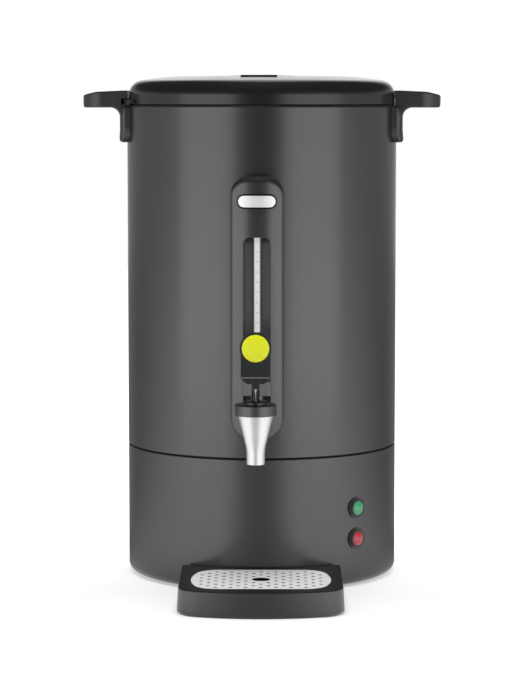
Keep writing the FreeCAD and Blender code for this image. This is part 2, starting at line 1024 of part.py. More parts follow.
def switch_rocker():
    half_width = switch_width / 2 - rocker_gap
    top = switch_level + switch_height / 2 - rocker_swing_gap
    bottom = switch_level - switch_height / 2 + rocker_swing_gap
    pivot_y = panel_y - rocker_pivot_depth
    face_y = panel_y + flange_thick
    edge_y = face_y - rocker_edge
    back_y = pivot_y - rocker_back_depth
    dip = math.tan(math.radians(rocker_tilt)) * (top - switch_level)
    side = outline([
        (face_y + dip, top), (face_y, switch_level), (face_y + dip, bottom), (edge_y, bottom),
        (back_y, switch_level - rocker_back_height / 2), (back_y, switch_level + rocker_back_height / 2),
        (edge_y, top),
    ], flat_yz(-half_width))
    rocker = joined([
        prism(side, V(2 * half_width, 0, 0)),
        rocker_axle(rocker_axle_radius, rocker_axle_reach),
    ])
    rocker.rotate(V(0, pivot_y, switch_level), V(1, 0, 0), rocker_tilt)
    return rocker


def handle_slot(first, last):
    # The groove that takes a lug of the lid, between two angles.
    groove = revolved([
        (body_radius - past, body_top + slot_rise),
        (body_radius + slot_depth, body_top + slot_rise),
        (body_radius + slot_depth, body_top + slot_rise + slot_height),
        (body_radius - past, body_top + slot_rise + slot_height),
    ], last - first)
    return turned(groove, first)


def handle_blank():
    # The handle before it is cut: side view, plan and end view met together, edges rounded.
    leg = body_radius + leg_proud
    bottom = body_top - leg_drop
    under = body_top - tongue_under
    inner = body_radius - past
    tip = body_radius + handle_reach
    top = body_top + tongue_root_rise
    half = handle_half_width
    side = outline([
        (inner, bottom),
        (leg + leg_flare, bottom, leg_toe_round),
        (leg, bottom + leg_flare_height, leg_bow),
        (leg, under, tongue_fillet),
        (tip - tongue_tip_rake, under, tongue_tip_under),
        (tip, body_top + tongue_tip_rise, tongue_tip_round),
        (tip - tongue_shoulder_back, top - tongue_shoulder_drop, tongue_bow),
        (body_radius + tongue_root_flat, top, tongue_bow),
        (inner, top),
    ], flat_xz(-half))
    plan = outline([
        (inner, -half), (tip, -half, handle_tip_radius), (tip, half, handle_tip_radius), (inner, half),
    ], flat_xy(bottom))
    end = outline([
        (-half, bottom, leg_corner), (half, bottom, leg_corner), (half, top), (-half, top),
    ], flat_yz(inner))
    handle = prism(side, V(0, 2 * half, 0))
    handle = handle.common(prism(plan, V(0, 0, top - bottom)))
    handle = handle.common(prism(end, V(tip - inner, 0, 0)))
    rim = plan.extrude(V(0, 0, top - bottom))
    edges = [edge for edge in handle.Edges if runs_along(edge, rim) and edge.BoundBox.XMax > body_radius]
    return handle.makeFillet(handle_rounding, edges).fuse(leg_wrap())


def leg_wrap():
    # The leg reaches further round the body than the grip, as a band with rounded lower corners.
    bottom = body_top - leg_drop
    under = body_top - tongue_under
    face = outline([
        (-leg_wrap_half, bottom, leg_wrap_corner), (leg_wrap_half, bottom, leg_wrap_corner),
        (leg_wrap_half, under), (-leg_wrap_half, under),
    ], flat_yz(shell_inner / 2))
    return prism(face, V(body_radius, 0, 0)).common(rod(body_radius + leg_proud, V(0, 0, 0), V(0, 0, under)))


def runs_along(edge, wall):
    # True for an edge that lies on an upright wall without standing up in it.
    middle = edge.valueAt((edge.FirstParameter + edge.LastParameter) / 2)
    upright = edge.BoundBox.XLength + edge.BoundBox.YLength < 0.1
    return not upright and Part.Vertex(middle).distToShape(wall)[0] < 1e-4


def right_handle():
    handle = handle_blank().cut(rod(body_radius + handle_fit, V(0, 0, 0), V(0, 0, 2 * body_top)))
    lug_end = lug_half_angle + lug_end_gap
    cuts = [handle_slot(-lug_end, slot_end_angle)]
    inside = shell_inner - past
    outside = shell_inner + screw_length - screw_head_height
    for angle in handle_screw_angles[:2]:
        cuts.append(radial_rod(
            screw_radius + thread_clearance, inside, outside, angle, handle_screw_level,
        ))
    return handle.cut(group(cuts))


def left_handle():
    return turned(right_handle(), 180.0)


def handle_screws():
    return wall_screws([(angle, handle_screw_level) for angle in handle_screw_angles])


def housing_blank(shrink, front_y, back_y):
    # The outline of the front housing, drawn in by shrink, between two depths.
    half = housing_half_width - shrink
    bottom = tap_level - housing_drop + shrink
    end_radius = half * round_end
    face = outline([
        (-half, bottom, end_radius), (half, bottom, end_radius),
        (half, housing_top - shrink, housing_top_corner - shrink),
        (-half, housing_top - shrink, housing_top_corner - shrink),
    ], flat_xz(back_y))
    slab = prism(face, V(0, front_y - back_y, 0))
    centre = V(0, front_y + housing_face_radius - shrink, 0)
    return slab.common(Part.makeCylinder(housing_face_radius - shrink, body_top, centre))


def channel(grow, top, front_y, back_y):
    half = channel_width / 2 + grow
    face = outline([
        (-half, tap_level - half, half * round_end), (half, tap_level - half, half * round_end),
        (half, top + grow, channel_corner), (-half, top + grow, channel_corner),
    ], flat_xz(back_y))
    return prism(face, V(0, front_y - back_y, 0))


def front_housing():
    back_y = -body_radius * math.cos(math.asin(housing_half_width / body_radius)) + past
    blank = housing_blank(0.0, housing_y, back_y)
    rim = [
        edge for edge in blank.Edges
        if edge.BoundBox.YMax < -body_radius and edge.BoundBox.YMin < housing_y + housing_proud / 2
    ]
    blank = blank.makeFillet(housing_roll, rim)
    front_y = housing_y + housing_wall
    inside = housing_blank(housing_wall, front_y, back_y)
    trough = channel(channel_wall, channel_top, front_y - housing_wall / 2, channel_floor_y + channel_wall)
    bosses = [
        radial_rod(housing_boss_radius, shell_inner, body_radius + housing_proud, angle, level)
        for angle, level in housing_screw_places
    ]
    housing = blank.cut(inside).fuse([trough] + bosses).common(blank)
    top = channel_top + channel_wall
    shank_line = front_axis(tap_level, shell_inner, -channel_floor_y + past)
    cuts = [
        channel(0.0, channel_top, housing_y - past, channel_floor_y),
        rod(body_radius + handle_fit, V(0, 0, 0), V(0, 0, body_top)),
        rod(shank_flange_radius + hole_clearance, *shank_line),
        rod(tube_radius + tube_clearance, V(0, tube_y, channel_top - past), V(0, tube_y, top + past)),
    ]
    for angle, level in housing_screw_places:
        cuts.append(radial_rod(
            screw_radius + thread_clearance, shell_inner - past, shell_inner + screw_length, angle, level,
        ))
    return housing.cut(group(cuts)).removeSplitter()


def housing_screws():
    return wall_screws(housing_screw_places)


def badge_plate():
    # A bare stadium plate bent to the face of the housing.
    level = housing_top - badge_drop
    half_x = badge_length / 2
    half_z = badge_height / 2
    end = half_z * round_end
    stadium = prism(outline([
        (-half_x, level - half_z, end), (half_x, level - half_z, end),
        (half_x, level + half_z, end), (-half_x, level + half_z, end),
    ], flat_xz(housing_y - past)), V(0, housing_face_radius, 0))
    bottom = V(0, housing_y + housing_face_radius, level - badge_height)
    top = V(0, housing_y + housing_face_radius, level + badge_height)
    return tube(housing_face_radius + badge_wall, housing_face_radius, bottom, top).common(stadium)


def sight_tube():
    top = channel_top + tube_above_channel
    return tube(tube_radius, tube_bore, V(0, tube_y, tube_foot), V(0, tube_y, top))


def tube_cap():
    bottom = channel_top + channel_wall
    cap = rod(tube_radius + cap_wall, V(0, tube_y, bottom), V(0, tube_y, bottom + cap_height))
    top = channel_top + tube_above_channel
    return cap.cut(rod(tube_radius + cap_press_gap, V(0, tube_y, bottom), V(0, tube_y, top)))


def gauge_nut():
    bottom = tap_level + gauge_nut_rise
    top = bottom + gauge_nut_height
    half_x = gauge_nut_width / 2
    front = tube_y - gauge_nut_depth / 2
    back = tube_y + gauge_nut_depth / 2
    body = prism(outline([
        (-half_x, front, gauge_nut_corner), (half_x, front, gauge_nut_corner),
        (half_x, back, gauge_nut_corner), (-half_x, back, gauge_nut_corner),
    ], flat_xy(bottom)), V(0, 0, gauge_nut_height))
    start = V(0, tube_y, bottom)
    port = rod(port_radius + thread_clearance, start, V(0, tube_y, port_top + nut_clearance))
    hole = rod(tube_radius + tube_clearance, start, V(0, tube_y, top))
    return body.cut(group([port, hole]))


def gauge_seal():
    return tube(tube_radius, tube_bore, V(0, tube_y, tube_foot - port_seal), V(0, tube_y, tube_foot))


def cone_radius(level):
    # Outside radius of the conical part of the nozzle at a level.
    waist = tap_level - waist_drop
    share = (level - waist) / (nozzle_top - waist)
    return waist_radius + share * (nozzle_top_radius - waist_radius)


def at_tap(shape):
    copy = shape.copy()
    copy.translate(V(0, tap_y, 0))
    return copy


def tap_body():
    inset = nozzle_wall + nozzle_gap
    waist = tap_level - waist_drop
    cone_foot = waist + outlet_step
    bottom = tap_level - mouth_drop + outlet_inset
    neck_top = bonnet_top - bonnet_wall
    chamber = at_tap(revolved([
        (0, bottom), (outlet_radius, bottom), (outlet_radius, waist),
        (cone_radius(cone_foot) - inset, cone_foot), (nozzle_top_radius - inset, nozzle_top),
        (nozzle_top_radius - inset, neck_top), (0, neck_top),
    ]))
    shank_end = tank_radius - shank_inner_length
    shank = rod(shank_radius, *front_axis(tap_level, shank_end, -tap_y - chamber_radius))
    flange_face = tank_outer + wall_gasket
    flange = rod(shank_flange_radius, *front_axis(tap_level, flange_face, flange_face + shank_flange))
    tube_base = V(0, tube_y, tap_level)
    tube_top = V(0, tube_y, port_top)
    port = rod(port_radius, tube_base, tube_top)
    cuts = [
        at_tap(rod(chamber_radius, V(0, 0, seat_level), V(0, 0, neck_top))),
        at_tap(rod(shank_bore, V(0, 0, bottom), V(0, 0, neck_top))),
        rod(shank_bore, *front_axis(tap_level, shank_end, -tap_y)),
        rod(tube_bore, tube_base, tube_top),
        rod(tube_radius + thread_clearance, V(0, tube_y, tube_foot - port_seal), tube_top),
    ]
    return joined([chamber, shank, flange, port]).cut(group(cuts))


def nozzle():
    waist = tap_level - waist_drop
    mouth = tap_level - mouth_drop
    shell = at_tap(revolved([
        (mouth_radius, mouth),
        (waist_radius, waist, waist_blend),
        (nozzle_top_radius, nozzle_top),
        (nozzle_top_radius - nozzle_wall, nozzle_top),
        (waist_radius - nozzle_wall, waist, waist_blend + nozzle_wall),
        (mouth_radius - nozzle_wall, mouth),
    ]))
    half = shank_radius + nozzle_gap
    notch = rod(half, *front_axis(tap_level, body_radius, -tap_y)).fuse(block(
        (-half, half), (tap_y, -body_radius), (tap_level, nozzle_top + past),
    ))
    return shell.cut(notch)


def bonnet():
    neck = nozzle_top_radius - nozzle_wall - nozzle_gap + thread_clearance
    bore = stem_radius + stem_clearance
    ceiling = bonnet_top - bonnet_wall
    return at_tap(revolved([
        (neck, nozzle_top), (bonnet_radius, nozzle_top), (bonnet_radius, bonnet_top, bonnet_edge),
        (boss_radius, bonnet_top), (boss_radius, boss_top - bonnet_edge),
        (boss_radius - bonnet_edge, boss_top), (bore, boss_top), (bore, ceiling), (neck, ceiling),
    ]))


def washer(near, far):
    # A soft washer on the shank between two distances from the axis of the body.
    return tube(shank_flange_radius, shank_radius + thread_clearance, *front_axis(tap_level, near, far))


def outer_gasket():
    tank = rod(tank_outer, V(0, 0, tank_floor), V(0, 0, body_top))
    return washer(tank_radius - past, tank_outer + wall_gasket).cut(tank)


def inner_gasket():
    room = rod(tank_radius, V(0, 0, tank_floor), V(0, 0, body_top))
    return washer(tank_radius - wall_gasket, tank_outer).common(room)


def shank_nut():
    near = tank_radius - wall_gasket - shank_nut_height
    start, end = front_axis(tap_level, near, near + shank_nut_height)
    return hexagon(shank_nut_flats, start, end).cut(rod(shank_radius + thread_clearance, start, end))


def seat_cup():
    bottom = seat_level + seat_gap
    plug = shank_bore - cup_plug_gap
    cup = revolved([
        (0, bottom - cup_plug_depth), (plug - cup_plug_draft, bottom - cup_plug_depth), (plug, bottom),
        (cup_radius, bottom), (cup_radius, cup_top - cup_edge), (cup_radius - cup_edge, cup_top),
        (0, cup_top),
    ])
    return at_tap(cup.cut(stem_foot()))


def stem_foot():
    # The end of the stem inside the cup, with the collar that carries it.
    collar = rod(stem_radius + collar_lip, V(0, 0, cup_top - collar_depth), V(0, 0, cup_top))
    return rod(stem_radius, V(0, 0, seat_level + stem_foot_rise), V(0, 0, cup_top)).fuse(collar)


def valve_stem():
    shaft = rod(stem_radius, V(0, 0, cup_top), V(0, 0, pin_level + stem_above_pin))
    return at_tap(joined([stem_foot(), shaft])).cut(pin_rod(pin_radius + pin_clearance))


def valve_spring():
    # The return spring inside the bonnet, as its plain outer sleeve.
    return at_tap(ring(spring_radius, spring_radius - spring_wall, cup_top, bonnet_top - bonnet_wall))


def pin_rod(radius):
    half = stub_width / 2
    return rod(radius, V(-half, tap_y, pin_level), V(half, tap_y, pin_level))


def lever_pin():
    return pin_rod(pin_radius)


def lever_stub():
    # The fork of the lever, seen from the side: its toe rolls on the boss of the bonnet.
    turn = math.radians(heel_angle)
    toe_y = tap_y - heel_arm * math.sin(turn)
    toe_z = pin_level - heel_arm * math.cos(turn)
    bottom = toe_z - heel_radius
    front = tap_y - stub_back
    back = tap_y + stub_back
    side = outline([
        (back, bottom, stub_edge), (toe_y - heel_radius, bottom, heel_radius * 0.999),
        (toe_y - heel_radius, toe_z + stub_edge), (front, pin_level + stub_rise, stub_bend),
        (front, pin_level + block_rise), (back, pin_level + block_rise),
    ], flat_yz(-stub_width / 2))
    return prism(side, V(stub_width, 0, 0))


def lever_slot():
    # The slot that the stem stands in, open through the whole fork.
    half = stem_radius + slot_side
    top = pin_level + stem_above_pin + slot_above_stem
    return block((-half, half), (tap_y - slot_reach, tap_y + slot_reach), (boss_top, top))


def tap_lever():
    rear = lever_front + block_thick
    half = block_width / 2
    body = prism(outline([
        (-half, block_bottom, block_corner), (half, block_bottom, block_corner),
        (half, disc_level), (-half, disc_level),
    ], flat_xz(lever_front)), V(0, block_thick, 0))
    disc = rod(disc_radius, V(0, lever_front, disc_level), V(0, rear, disc_level))
    chin_bottom = pin_level + chin_rise
    chin_half = half - chin_inset
    chin = prism(outline([
        (-chin_width / 2, chin_bottom, block_corner), (chin_width / 2, chin_bottom, block_corner),
        (chin_half, block_bottom - block_corner, chin_corner), (chin_half, block_bottom + block_corner),
        (-chin_half, block_bottom + block_corner), (-chin_half, block_bottom - block_corner, chin_corner),
    ], flat_xz(lever_front + block_step)), V(0, block_thick - block_step, 0))
    pocket = rod(
        cap_radius + cap_fit,
        V(0, lever_front - past, disc_level), V(0, lever_front + cap_sink, disc_level),
    )
    return joined([body, disc, chin, lever_stub()]).cut(group([pocket, lever_slot(), lever_pin()]))


def lever_cap():
    # The round coloured insert, a bare disc with a shallow crown.
    cap = domed_rod(cap_radius, cap_sink, cap_sink + cap_crown)
    return set_along(cap, V(0, lever_front + cap_sink, disc_level), V(0, -1, 0))


def lid_cap():
    rim_bottom = body_top + rim_gap
    shoulder = body_top + shoulder_rise
    dome = body_top + dome_rise
    edge = body_top + recess_rise
    floor = edge - recess_depth
    shell = revolved([
        (0, floor),
        (recess_radius - recess_draft, floor, recess_floor_round),
        (recess_radius, edge, recess_edge_round),
        (dome_radius, dome, dome_blend),
        (lid_radius - rim_draft, shoulder, shoulder_radius),
        (lid_radius, rim_bottom),
        (lid_radius - lid_wall, rim_bottom),
        (lid_radius - rim_draft - lid_wall, shoulder - lid_wall, shoulder_radius - lid_wall),
        (dome_radius, dome - lid_wall),
        (recess_radius + lid_wall, edge - lid_wall),
        (recess_radius - recess_draft + lid_wall, floor - lid_wall),
        (0, floor - lid_wall),
    ])
    liner_top = body_top + liner_rise + liner_wall
    boss_foot = V(liner_boss_pitch, 0, liner_top)
    boss = rod(liner_boss_radius, boss_foot, V(liner_boss_pitch, 0, dome - lid_wall / 2))
    thread_end = liner_top + screw_length - screw_head_height
    thread = rod(screw_radius + thread_clearance, boss_foot, V(liner_boss_pitch, 0, thread_end))
    grip_hole = rod(
        screw_radius + hole_clearance,
        V(grip_screw_spread, 0, body_top), V(grip_screw_spread, 0, dome + past),
    )
    lug_bottom = body_top + lug_rise
    lug = turned(revolved([
        (lid_radius - lid_wall, lug_bottom),
        (lid_radius + lug_reach, lug_bottom),
        (lid_radius + lug_reach, lug_bottom + lug_height),
        (lid_radius - lid_wall, lug_bottom + lug_height),
    ], 2 * lug_half_angle), lug_angle - lug_half_angle)
    hood, slits = steam_vent(dome - lid_wall)
    solid = joined([shell, hood] + spread(boss, liner_boss_angles) + spread(lug, (0.0, 180.0)))
    return solid.cut(group(slits + spread(thread, liner_boss_angles) + spread(grip_hole, (0.0, 180.0))))


def steam_vent(base):
    # The flat hood at the front of the lid that steam leaves by, and the cuts that open it.
    front = -vent_radius
    back = front + vent_length
    top = body_top + vent_rise
    hood = prism(outline([
        (front, base), (front, top), (back, top - vent_fall), (back, base),
    ], flat_yz(-vent_width / 2)), V(vent_width, 0, 0))
    half = vent_width / 2 - vent_side
    middle = (front + back) / 2
    roof = top - vent_wall
    slot = block((-half, half), (front - past, middle), (roof - vent_slit, roof))
    shaft = block((-half, half), (front + vent_side, middle), (base - past, roof - vent_slit / 3))
    return hood, [slot, shaft]


def lid_grip():
    floor = body_top + recess_rise - recess_depth
    half_width = grip_width / 2
    foot = math.sqrt((recess_radius - recess_draft) ** 2 - half_width ** 2) - grip_side_gap
    end = math.sqrt(recess_radius ** 2 - half_width ** 2) - grip_side_gap
    top = body_top + grip_rise
    end_top = top - grip_end_drop
    bar = prism(outline([
        (-foot, floor, grip_foot_round), (foot, floor, grip_foot_round),
        (end, end_top, grip_end_round),
        (0, top, grip_crown), (-end, end_top, grip_end_round),
    ], flat_xz(-half_width)), V(0, grip_width, 0))
    upper = end_top - grip_end_round
    edges = [edge for edge in bar.Edges if edge.BoundBox.ZMin > upper and edge.BoundBox.YLength < 1e-6]
    bar = bar.makeFillet(grip_edge, edges)
    thread = rod(
        screw_radius + thread_clearance,
        V(grip_screw_spread, 0, floor), V(grip_screw_spread, 0, floor + grip_screw_grip),
    )
    return bar.cut(group(spread(thread, (0.0, 180.0))))


def grip_screws():
    seat = body_top + recess_rise - recess_depth - lid_wall
    tip = seat + screw_length - screw_head_height
    one = screw(V(grip_screw_spread, 0, seat), V(grip_screw_spread, 0, tip))
    return group(spread(one, (0.0, 180.0)))


def lid_liner():
    bottom = body_top + liner_rise
    top = bottom + liner_wall
    outer = lid_radius - lid_wall - liner_edge_gap
    plug = tank_radius - plug_gap
    plug_foot = body_top - plug_depth
    liner = revolved([
        (0, bottom), (plug - plug_wall, bottom), (plug - plug_wall, plug_foot), (plug, plug_foot),
        (plug, bottom), (outer, bottom), (outer, top), (0, top),
    ])
    screw_hole = rod(
        screw_radius + hole_clearance, V(liner_boss_pitch, 0, bottom), V(liner_boss_pitch, 0, top),
    )
    steam_hole = rod(steam_hole_radius, V(0, -vent_radius, bottom), V(0, -vent_radius, top))
    steam_angles = (-steam_hole_turn, 0.0, steam_hole_turn)
    return liner.cut(group(spread(screw_hole, liner_boss_angles) + spread(steam_hole, steam_angles)))


def liner_screws():
    seat = body_top + liner_rise
    tip = seat + screw_length - screw_head_height
    one = screw(V(liner_boss_pitch, 0, seat), V(liner_boss_pitch, 0, tip))
    return group(spread(one, liner_boss_angles))


def lid_gasket():
    inner = tank_radius + gasket_gap
    return ring(inner + gasket_width, inner, body_top, body_top + liner_rise)


def pump_tube():
    foot = tank_floor - well_depth + seat_gap
    bore = pump_radius - pump_wall
    rim = foot + bell_rim
    neck = foot + bell_height
    stand = revolved([
        (bell_radius, foot), (bell_radius, rim), (pump_radius, neck), (pump_radius, pump_top),
        (bore, pump_top), (bore, neck - pump_wall / 2), (bell_radius - pump_wall, rim - pump_wall / 2),
        (bell_radius - pump_wall, foot),
    ])
    collar = ring(collar_radius, pump_radius - pump_wall / 2, collar_top - collar_height, collar_top)
    reach = bell_radius + past
    notch = block((-bell_notch, bell_notch), (-reach, reach), (foot, foot + bell_rim / 2))
    return joined([stand, collar]).cut(group(spread(notch, (0.0, 90.0))))


def sieve(radii, counts, bottom, top):
    # Small six-sided holes, so many on a circle of each radius.
    holes = []
    for radius, count in zip(radii, counts):
        hole = polygon(6, sieve_hole, V(radius, 0, bottom)).extrude(V(0, 0, top - bottom))
        holes += spread(hole, evenly(count))
    return holes


def coffee_basket():
    bottom = basket_bottom
    floor = bottom + basket_wall
    top = bottom + basket_height
    bore = pump_radius + basket_tube_gap
    tube_top = bottom + basket_tube_height
    basket = revolved([
        (bore, bottom), (basket_radius, bottom, basket_round), (basket_radius, top - basket_wall),
        (basket_radius + basket_rim, top - basket_wall), (basket_radius + basket_rim, top),
        (basket_radius - basket_wall, top),
        (basket_radius - basket_wall, floor, basket_round - basket_wall),
        (bore + basket_wall, floor), (bore + basket_wall, tube_top), (bore, tube_top),
    ])
    return basket.cut(group(sieve(basket_ring_radii, basket_ring_counts, bottom, floor)))


def basket_cover():
    bore = pump_radius + basket_tube_gap
    lip = basket_radius - basket_wall - cover_fit
    lip_foot = cover_bottom - cover_lip
    edge = basket_radius + basket_rim
    top = cover_bottom + basket_wall
    cover = revolved([
        (bore, cover_bottom), (lip - basket_wall, cover_bottom), (lip - basket_wall, lip_foot),
        (lip, lip_foot), (lip, cover_bottom), (edge, cover_bottom), (edge, top), (bore, top),
    ])
    return cover.cut(group(sieve(cover_ring_radii, cover_ring_counts, cover_bottom, top)))


def bow_tilt(half, corner, bow):
    # The slope at the ends of a bowed edge, just short of its rounded corners.
    return math.asin((half - corner - bow_straight) / (bow - corner))


def bow_peak(bow, tilt):
    # How far the two slopes of a bowed edge meet beyond the middle of the bow.
    return bow * (1 / math.cos(tilt) - 1)


def tray_section(level, inset):
    # The outline of the tray at a level, drawn in by inset; its back is cut off later.
    grow = tray_draft * (1 - level / tray_height) - inset
    half = tray_width / 2 + grow
    corner = tray_front_corner + grow
    bow = tray_bow + grow
    tilt = bow_tilt(half, corner, bow)
    peak = -(body_radius + tray_front) - grow - bow_peak(bow, tilt)
    side = peak + half * math.tan(tilt)
    back = -math.sqrt(body_radius ** 2 - half ** 2) + tray_gap
    return outline([
        (-half, side, corner), (0, peak, bow), (half, side, corner), (half, back), (-half, back),
    ], flat_xy(level))


def grille_outline(level, grow):
    # The outline of the plate, bowed at both ends and let out by grow.
    half = grille_depth / 2 + grow
    corner = grille_corner + grow
    bow = grille_bow + grow
    tilt = bow_tilt(half, corner, bow)
    peak = grille_length / 2 + grow + bow_peak(bow, tilt)
    end = peak - half * math.tan(tilt)
    front = grille_middle_y - half
    back = grille_middle_y + half
    return outline([
        (-end, front, corner), (end, front, corner), (peak, grille_middle_y, bow),
        (end, back, corner), (-end, back, corner), (-peak, grille_middle_y, bow),
    ], flat_xy(level))


def drip_tray():
    blank = Part.makeLoft([
        tray_section(0.0, tray_foot_round), tray_section(tray_foot_round, 0.0),
        tray_section(tray_height - tray_top_round, 0.0), tray_section(tray_height, tray_top_round),
    ], True, True)
    blank = blank.cut(rod(body_radius + tray_gap, V(0, 0, 0), V(0, 0, tray_height)))
    corners = [
        edge for edge in blank.Edges
        if edge.BoundBox.ZLength > tray_height / 2 and edge.BoundBox.YMin > -body_radius
    ]
    blank = blank.makeFillet(tray_rear_corner, corners)
    seat = prism(grille_outline(grille_seat, grille_fit), V(0, 0, tray_height))
    basin = prism(grille_outline(tray_floor, -grille_ledge), V(0, 0, tray_height))
    return turned(blank.cut(group([seat, basin])), tray_turn)


def grille_holes():
    # Staggered holes, kept clear of the rounded edge and of the drain under the tap.
    holes = []
    over = V(0, 0, grille_wall)
    field = Part.Face(grille_outline(grille_seat, -(grille_hole + drain_margin)))
    first_x = -grille_pitch_x * (grille_columns - 1) / 2
    first_y = grille_middle_y - grille_pitch_y * (grille_rows - 1) / 2
    for column in range(grille_columns):
        for row in range(column % 2, grille_rows, 2):
            centre = V(first_x + column * grille_pitch_x, first_y + row * grille_pitch_y, grille_seat)
            near_edge = Part.Vertex(centre).distToShape(field)[0] > 1e-4
            near_drain = math.hypot(centre.x, centre.y - tap_y) < drain_radius + grille_hole + drain_margin
            if near_edge or near_drain:
                continue
            holes.append(polygon(grille_hole_sides, grille_hole, centre).extrude(over))
    return holes


def drip_plate():
    plate = prism(grille_outline(grille_seat, 0.0), V(0, 0, grille_wall))
    drain = rod(drain_radius, V(0, tap_y, grille_seat), V(0, tap_y, tray_height))
    return turned(plate.cut(group(grille_holes() + [drain])), tray_turn)


pieces = {
    "outer_shell": outer_shell,
    "inner_tank": inner_tank,
    "seam_ring": seam_ring,
    "base_skirt": base_skirt,
    "base_plate": base_plate,
    "foot_ring": foot_ring,
    "base_screws": base_screws,
    "tie_rods": tie_rods,
    "tie_nuts": tie_nuts,
    "well_heater": well_heater,
    "keep_warm_element": keep_warm_element,
    "thermostat": thermostat,
    "thermal_cutout": thermal_cutout,
    "terminal_block": terminal_block,
    "upper_lamp_bezel": lambda: lamp_bezel(lamp_levels[0]),
    "lower_lamp_bezel": lambda: lamp_bezel(lamp_levels[1]),
    "green_lens": lambda: lens(lamp_levels[0]),
    "red_lens": lambda: lens(lamp_levels[1]),
    "lamp_nuts": lamp_nuts,
    "rear_panel": rear_panel,
    "panel_screws": panel_screws,
    "inlet_socket": inlet_socket,
    "inlet_pins": inlet_pins,
    "switch_housing": switch_housing,
    "switch_rocker": switch_rocker,
    "left_handle": left_handle,
    "right_handle": right_handle,
    "handle_screws": handle_screws,
    "front_housing": front_housing,
    "housing_screws": housing_screws,
    "badge_plate": badge_plate,
    "sight_tube": sight_tube,
    "tube_cap": tube_cap,
    "gauge_nut": gauge_nut,
    "gauge_seal": gauge_seal,
    "tap_body": tap_body,
    "nozzle": nozzle,
    "bonnet": bonnet,
    "outer_gasket": outer_gasket,
    "inner_gasket": inner_gasket,
    "shank_nut": shank_nut,
    "seat_cup": seat_cup,
    "valve_stem": valve_stem,
    "valve_spring": valve_spring,
    "tap_lever": tap_lever,
    "lever_pin": lever_pin,
    "lever_cap": lever_cap,
    "lid_cap": lid_cap,
    "lid_grip": lid_grip,
    "grip_screws": grip_screws,
    "lid_liner": lid_liner,
    "liner_screws": liner_screws,
    "lid_gasket": lid_gasket,
    "pump_tube": pump_tube,
    "coffee_basket": coffee_basket,
    "basket_cover": basket_cover,
    "drip_tray": drip_tray,
    "drip_plate": drip_plate,
}

os.makedirs("parts", exist_ok=True)
for name, make in pieces.items():
    shape = make()
    shape.exportStep(f"parts/{name}.step")
    low, high = shape.BoundBox.ZMin, shape.BoundBox.ZMax
    print(f"{name}: {len(shape.Solids)} solids, {shape.Volume / 1000:.2f} cm3, z {low:.1f} to {high:.1f}")
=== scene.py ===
import math
import bmesh
import bpy
from mathutils import Matrix, Vector


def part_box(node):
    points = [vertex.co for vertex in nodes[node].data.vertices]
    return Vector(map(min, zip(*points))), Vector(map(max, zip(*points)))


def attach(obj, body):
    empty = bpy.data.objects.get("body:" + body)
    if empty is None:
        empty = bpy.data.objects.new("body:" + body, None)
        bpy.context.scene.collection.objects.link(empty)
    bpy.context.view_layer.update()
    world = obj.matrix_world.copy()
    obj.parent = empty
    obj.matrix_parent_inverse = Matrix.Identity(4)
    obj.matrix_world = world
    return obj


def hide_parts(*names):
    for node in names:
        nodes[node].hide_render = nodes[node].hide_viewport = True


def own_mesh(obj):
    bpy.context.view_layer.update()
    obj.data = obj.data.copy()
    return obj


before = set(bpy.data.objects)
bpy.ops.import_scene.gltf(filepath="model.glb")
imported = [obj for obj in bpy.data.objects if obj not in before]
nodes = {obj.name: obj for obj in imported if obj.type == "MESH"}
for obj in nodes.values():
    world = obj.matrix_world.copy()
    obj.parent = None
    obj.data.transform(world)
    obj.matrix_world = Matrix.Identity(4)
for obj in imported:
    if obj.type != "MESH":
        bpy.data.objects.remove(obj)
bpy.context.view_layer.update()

# Coffee urn in satin charcoal paint, dressed over its frame.
# Metres throughout, the axis of the urn on Z and the tap towards -Y.

mm = 0.001
white = (1.0, 1.0, 1.0)


def addObject(name, data):
    item = bpy.data.objects.new(name, data)
    bpy.context.scene.collection.objects.link(item)
    return item


# Small helpers for every node tree. An input takes a plain value or a socket to link.

def feed(tree, socket, value):
    if isinstance(value, bpy.types.NodeSocket):
        tree.links.new(value, socket)
    elif value is not None:
        socket.default_value = (*value[:3], 1.0) if socket.type == "RGBA" else value


def feedAll(tree, node, inputs):
    for label, value in inputs.items():
        feed(tree, node.inputs[label], value)
    return node


def addNode(tree, kind, inputs=None, **settings):
    node = tree.nodes.new(kind)
    for name, value in settings.items():
        setattr(node, name, value)
    return feedAll(tree, node, inputs or {})


def addMath(tree, operation, *values, clamp=False):
    inputs = dict(enumerate(values))
    return addNode(tree, "ShaderNodeMath", inputs, operation=operation, use_clamp=clamp).outputs[0]


def multiply(tree, first, second):
    return addMath(tree, "MULTIPLY", first, second)


def mapRange(tree, value, fromLow, fromHigh, toLow=0.0, toHigh=1.0, smooth=False):
    inputs = {"Value": value, "From Min": fromLow, "From Max": fromHigh, "To Min": toLow, "To Max": toHigh}
    kind = "SMOOTHSTEP" if smooth else "LINEAR"
    return addNode(tree, "ShaderNodeMapRange", inputs, interpolation_type=kind).outputs["Result"]


def pick(tree, switch, off, on):
    return mapRange(tree, switch, 0.0, 1.0, off, on)


def mixColour(tree, factor, first, second):
    return addNode(tree, "ShaderNodeMix", {0: factor, 6: first, 7: second}, data_type="RGBA").outputs[2]


def vectorMath(tree, operation, *vectors):
    return addNode(tree, "ShaderNodeVectorMath", dict(enumerate(vectors)), operation=operation).outputs


def splitXYZ(tree, vector):
    return addNode(tree, "ShaderNodeSeparateXYZ", {0: vector}).outputs


def joinXYZ(tree, x=None, y=None, z=None):
    return addNode(tree, "ShaderNodeCombineXYZ", {0: x, 1: y, 2: z}).outputs[0]


def objectPlace(tree):
    return addNode(tree, "ShaderNodeTexCoord").outputs["Object"]


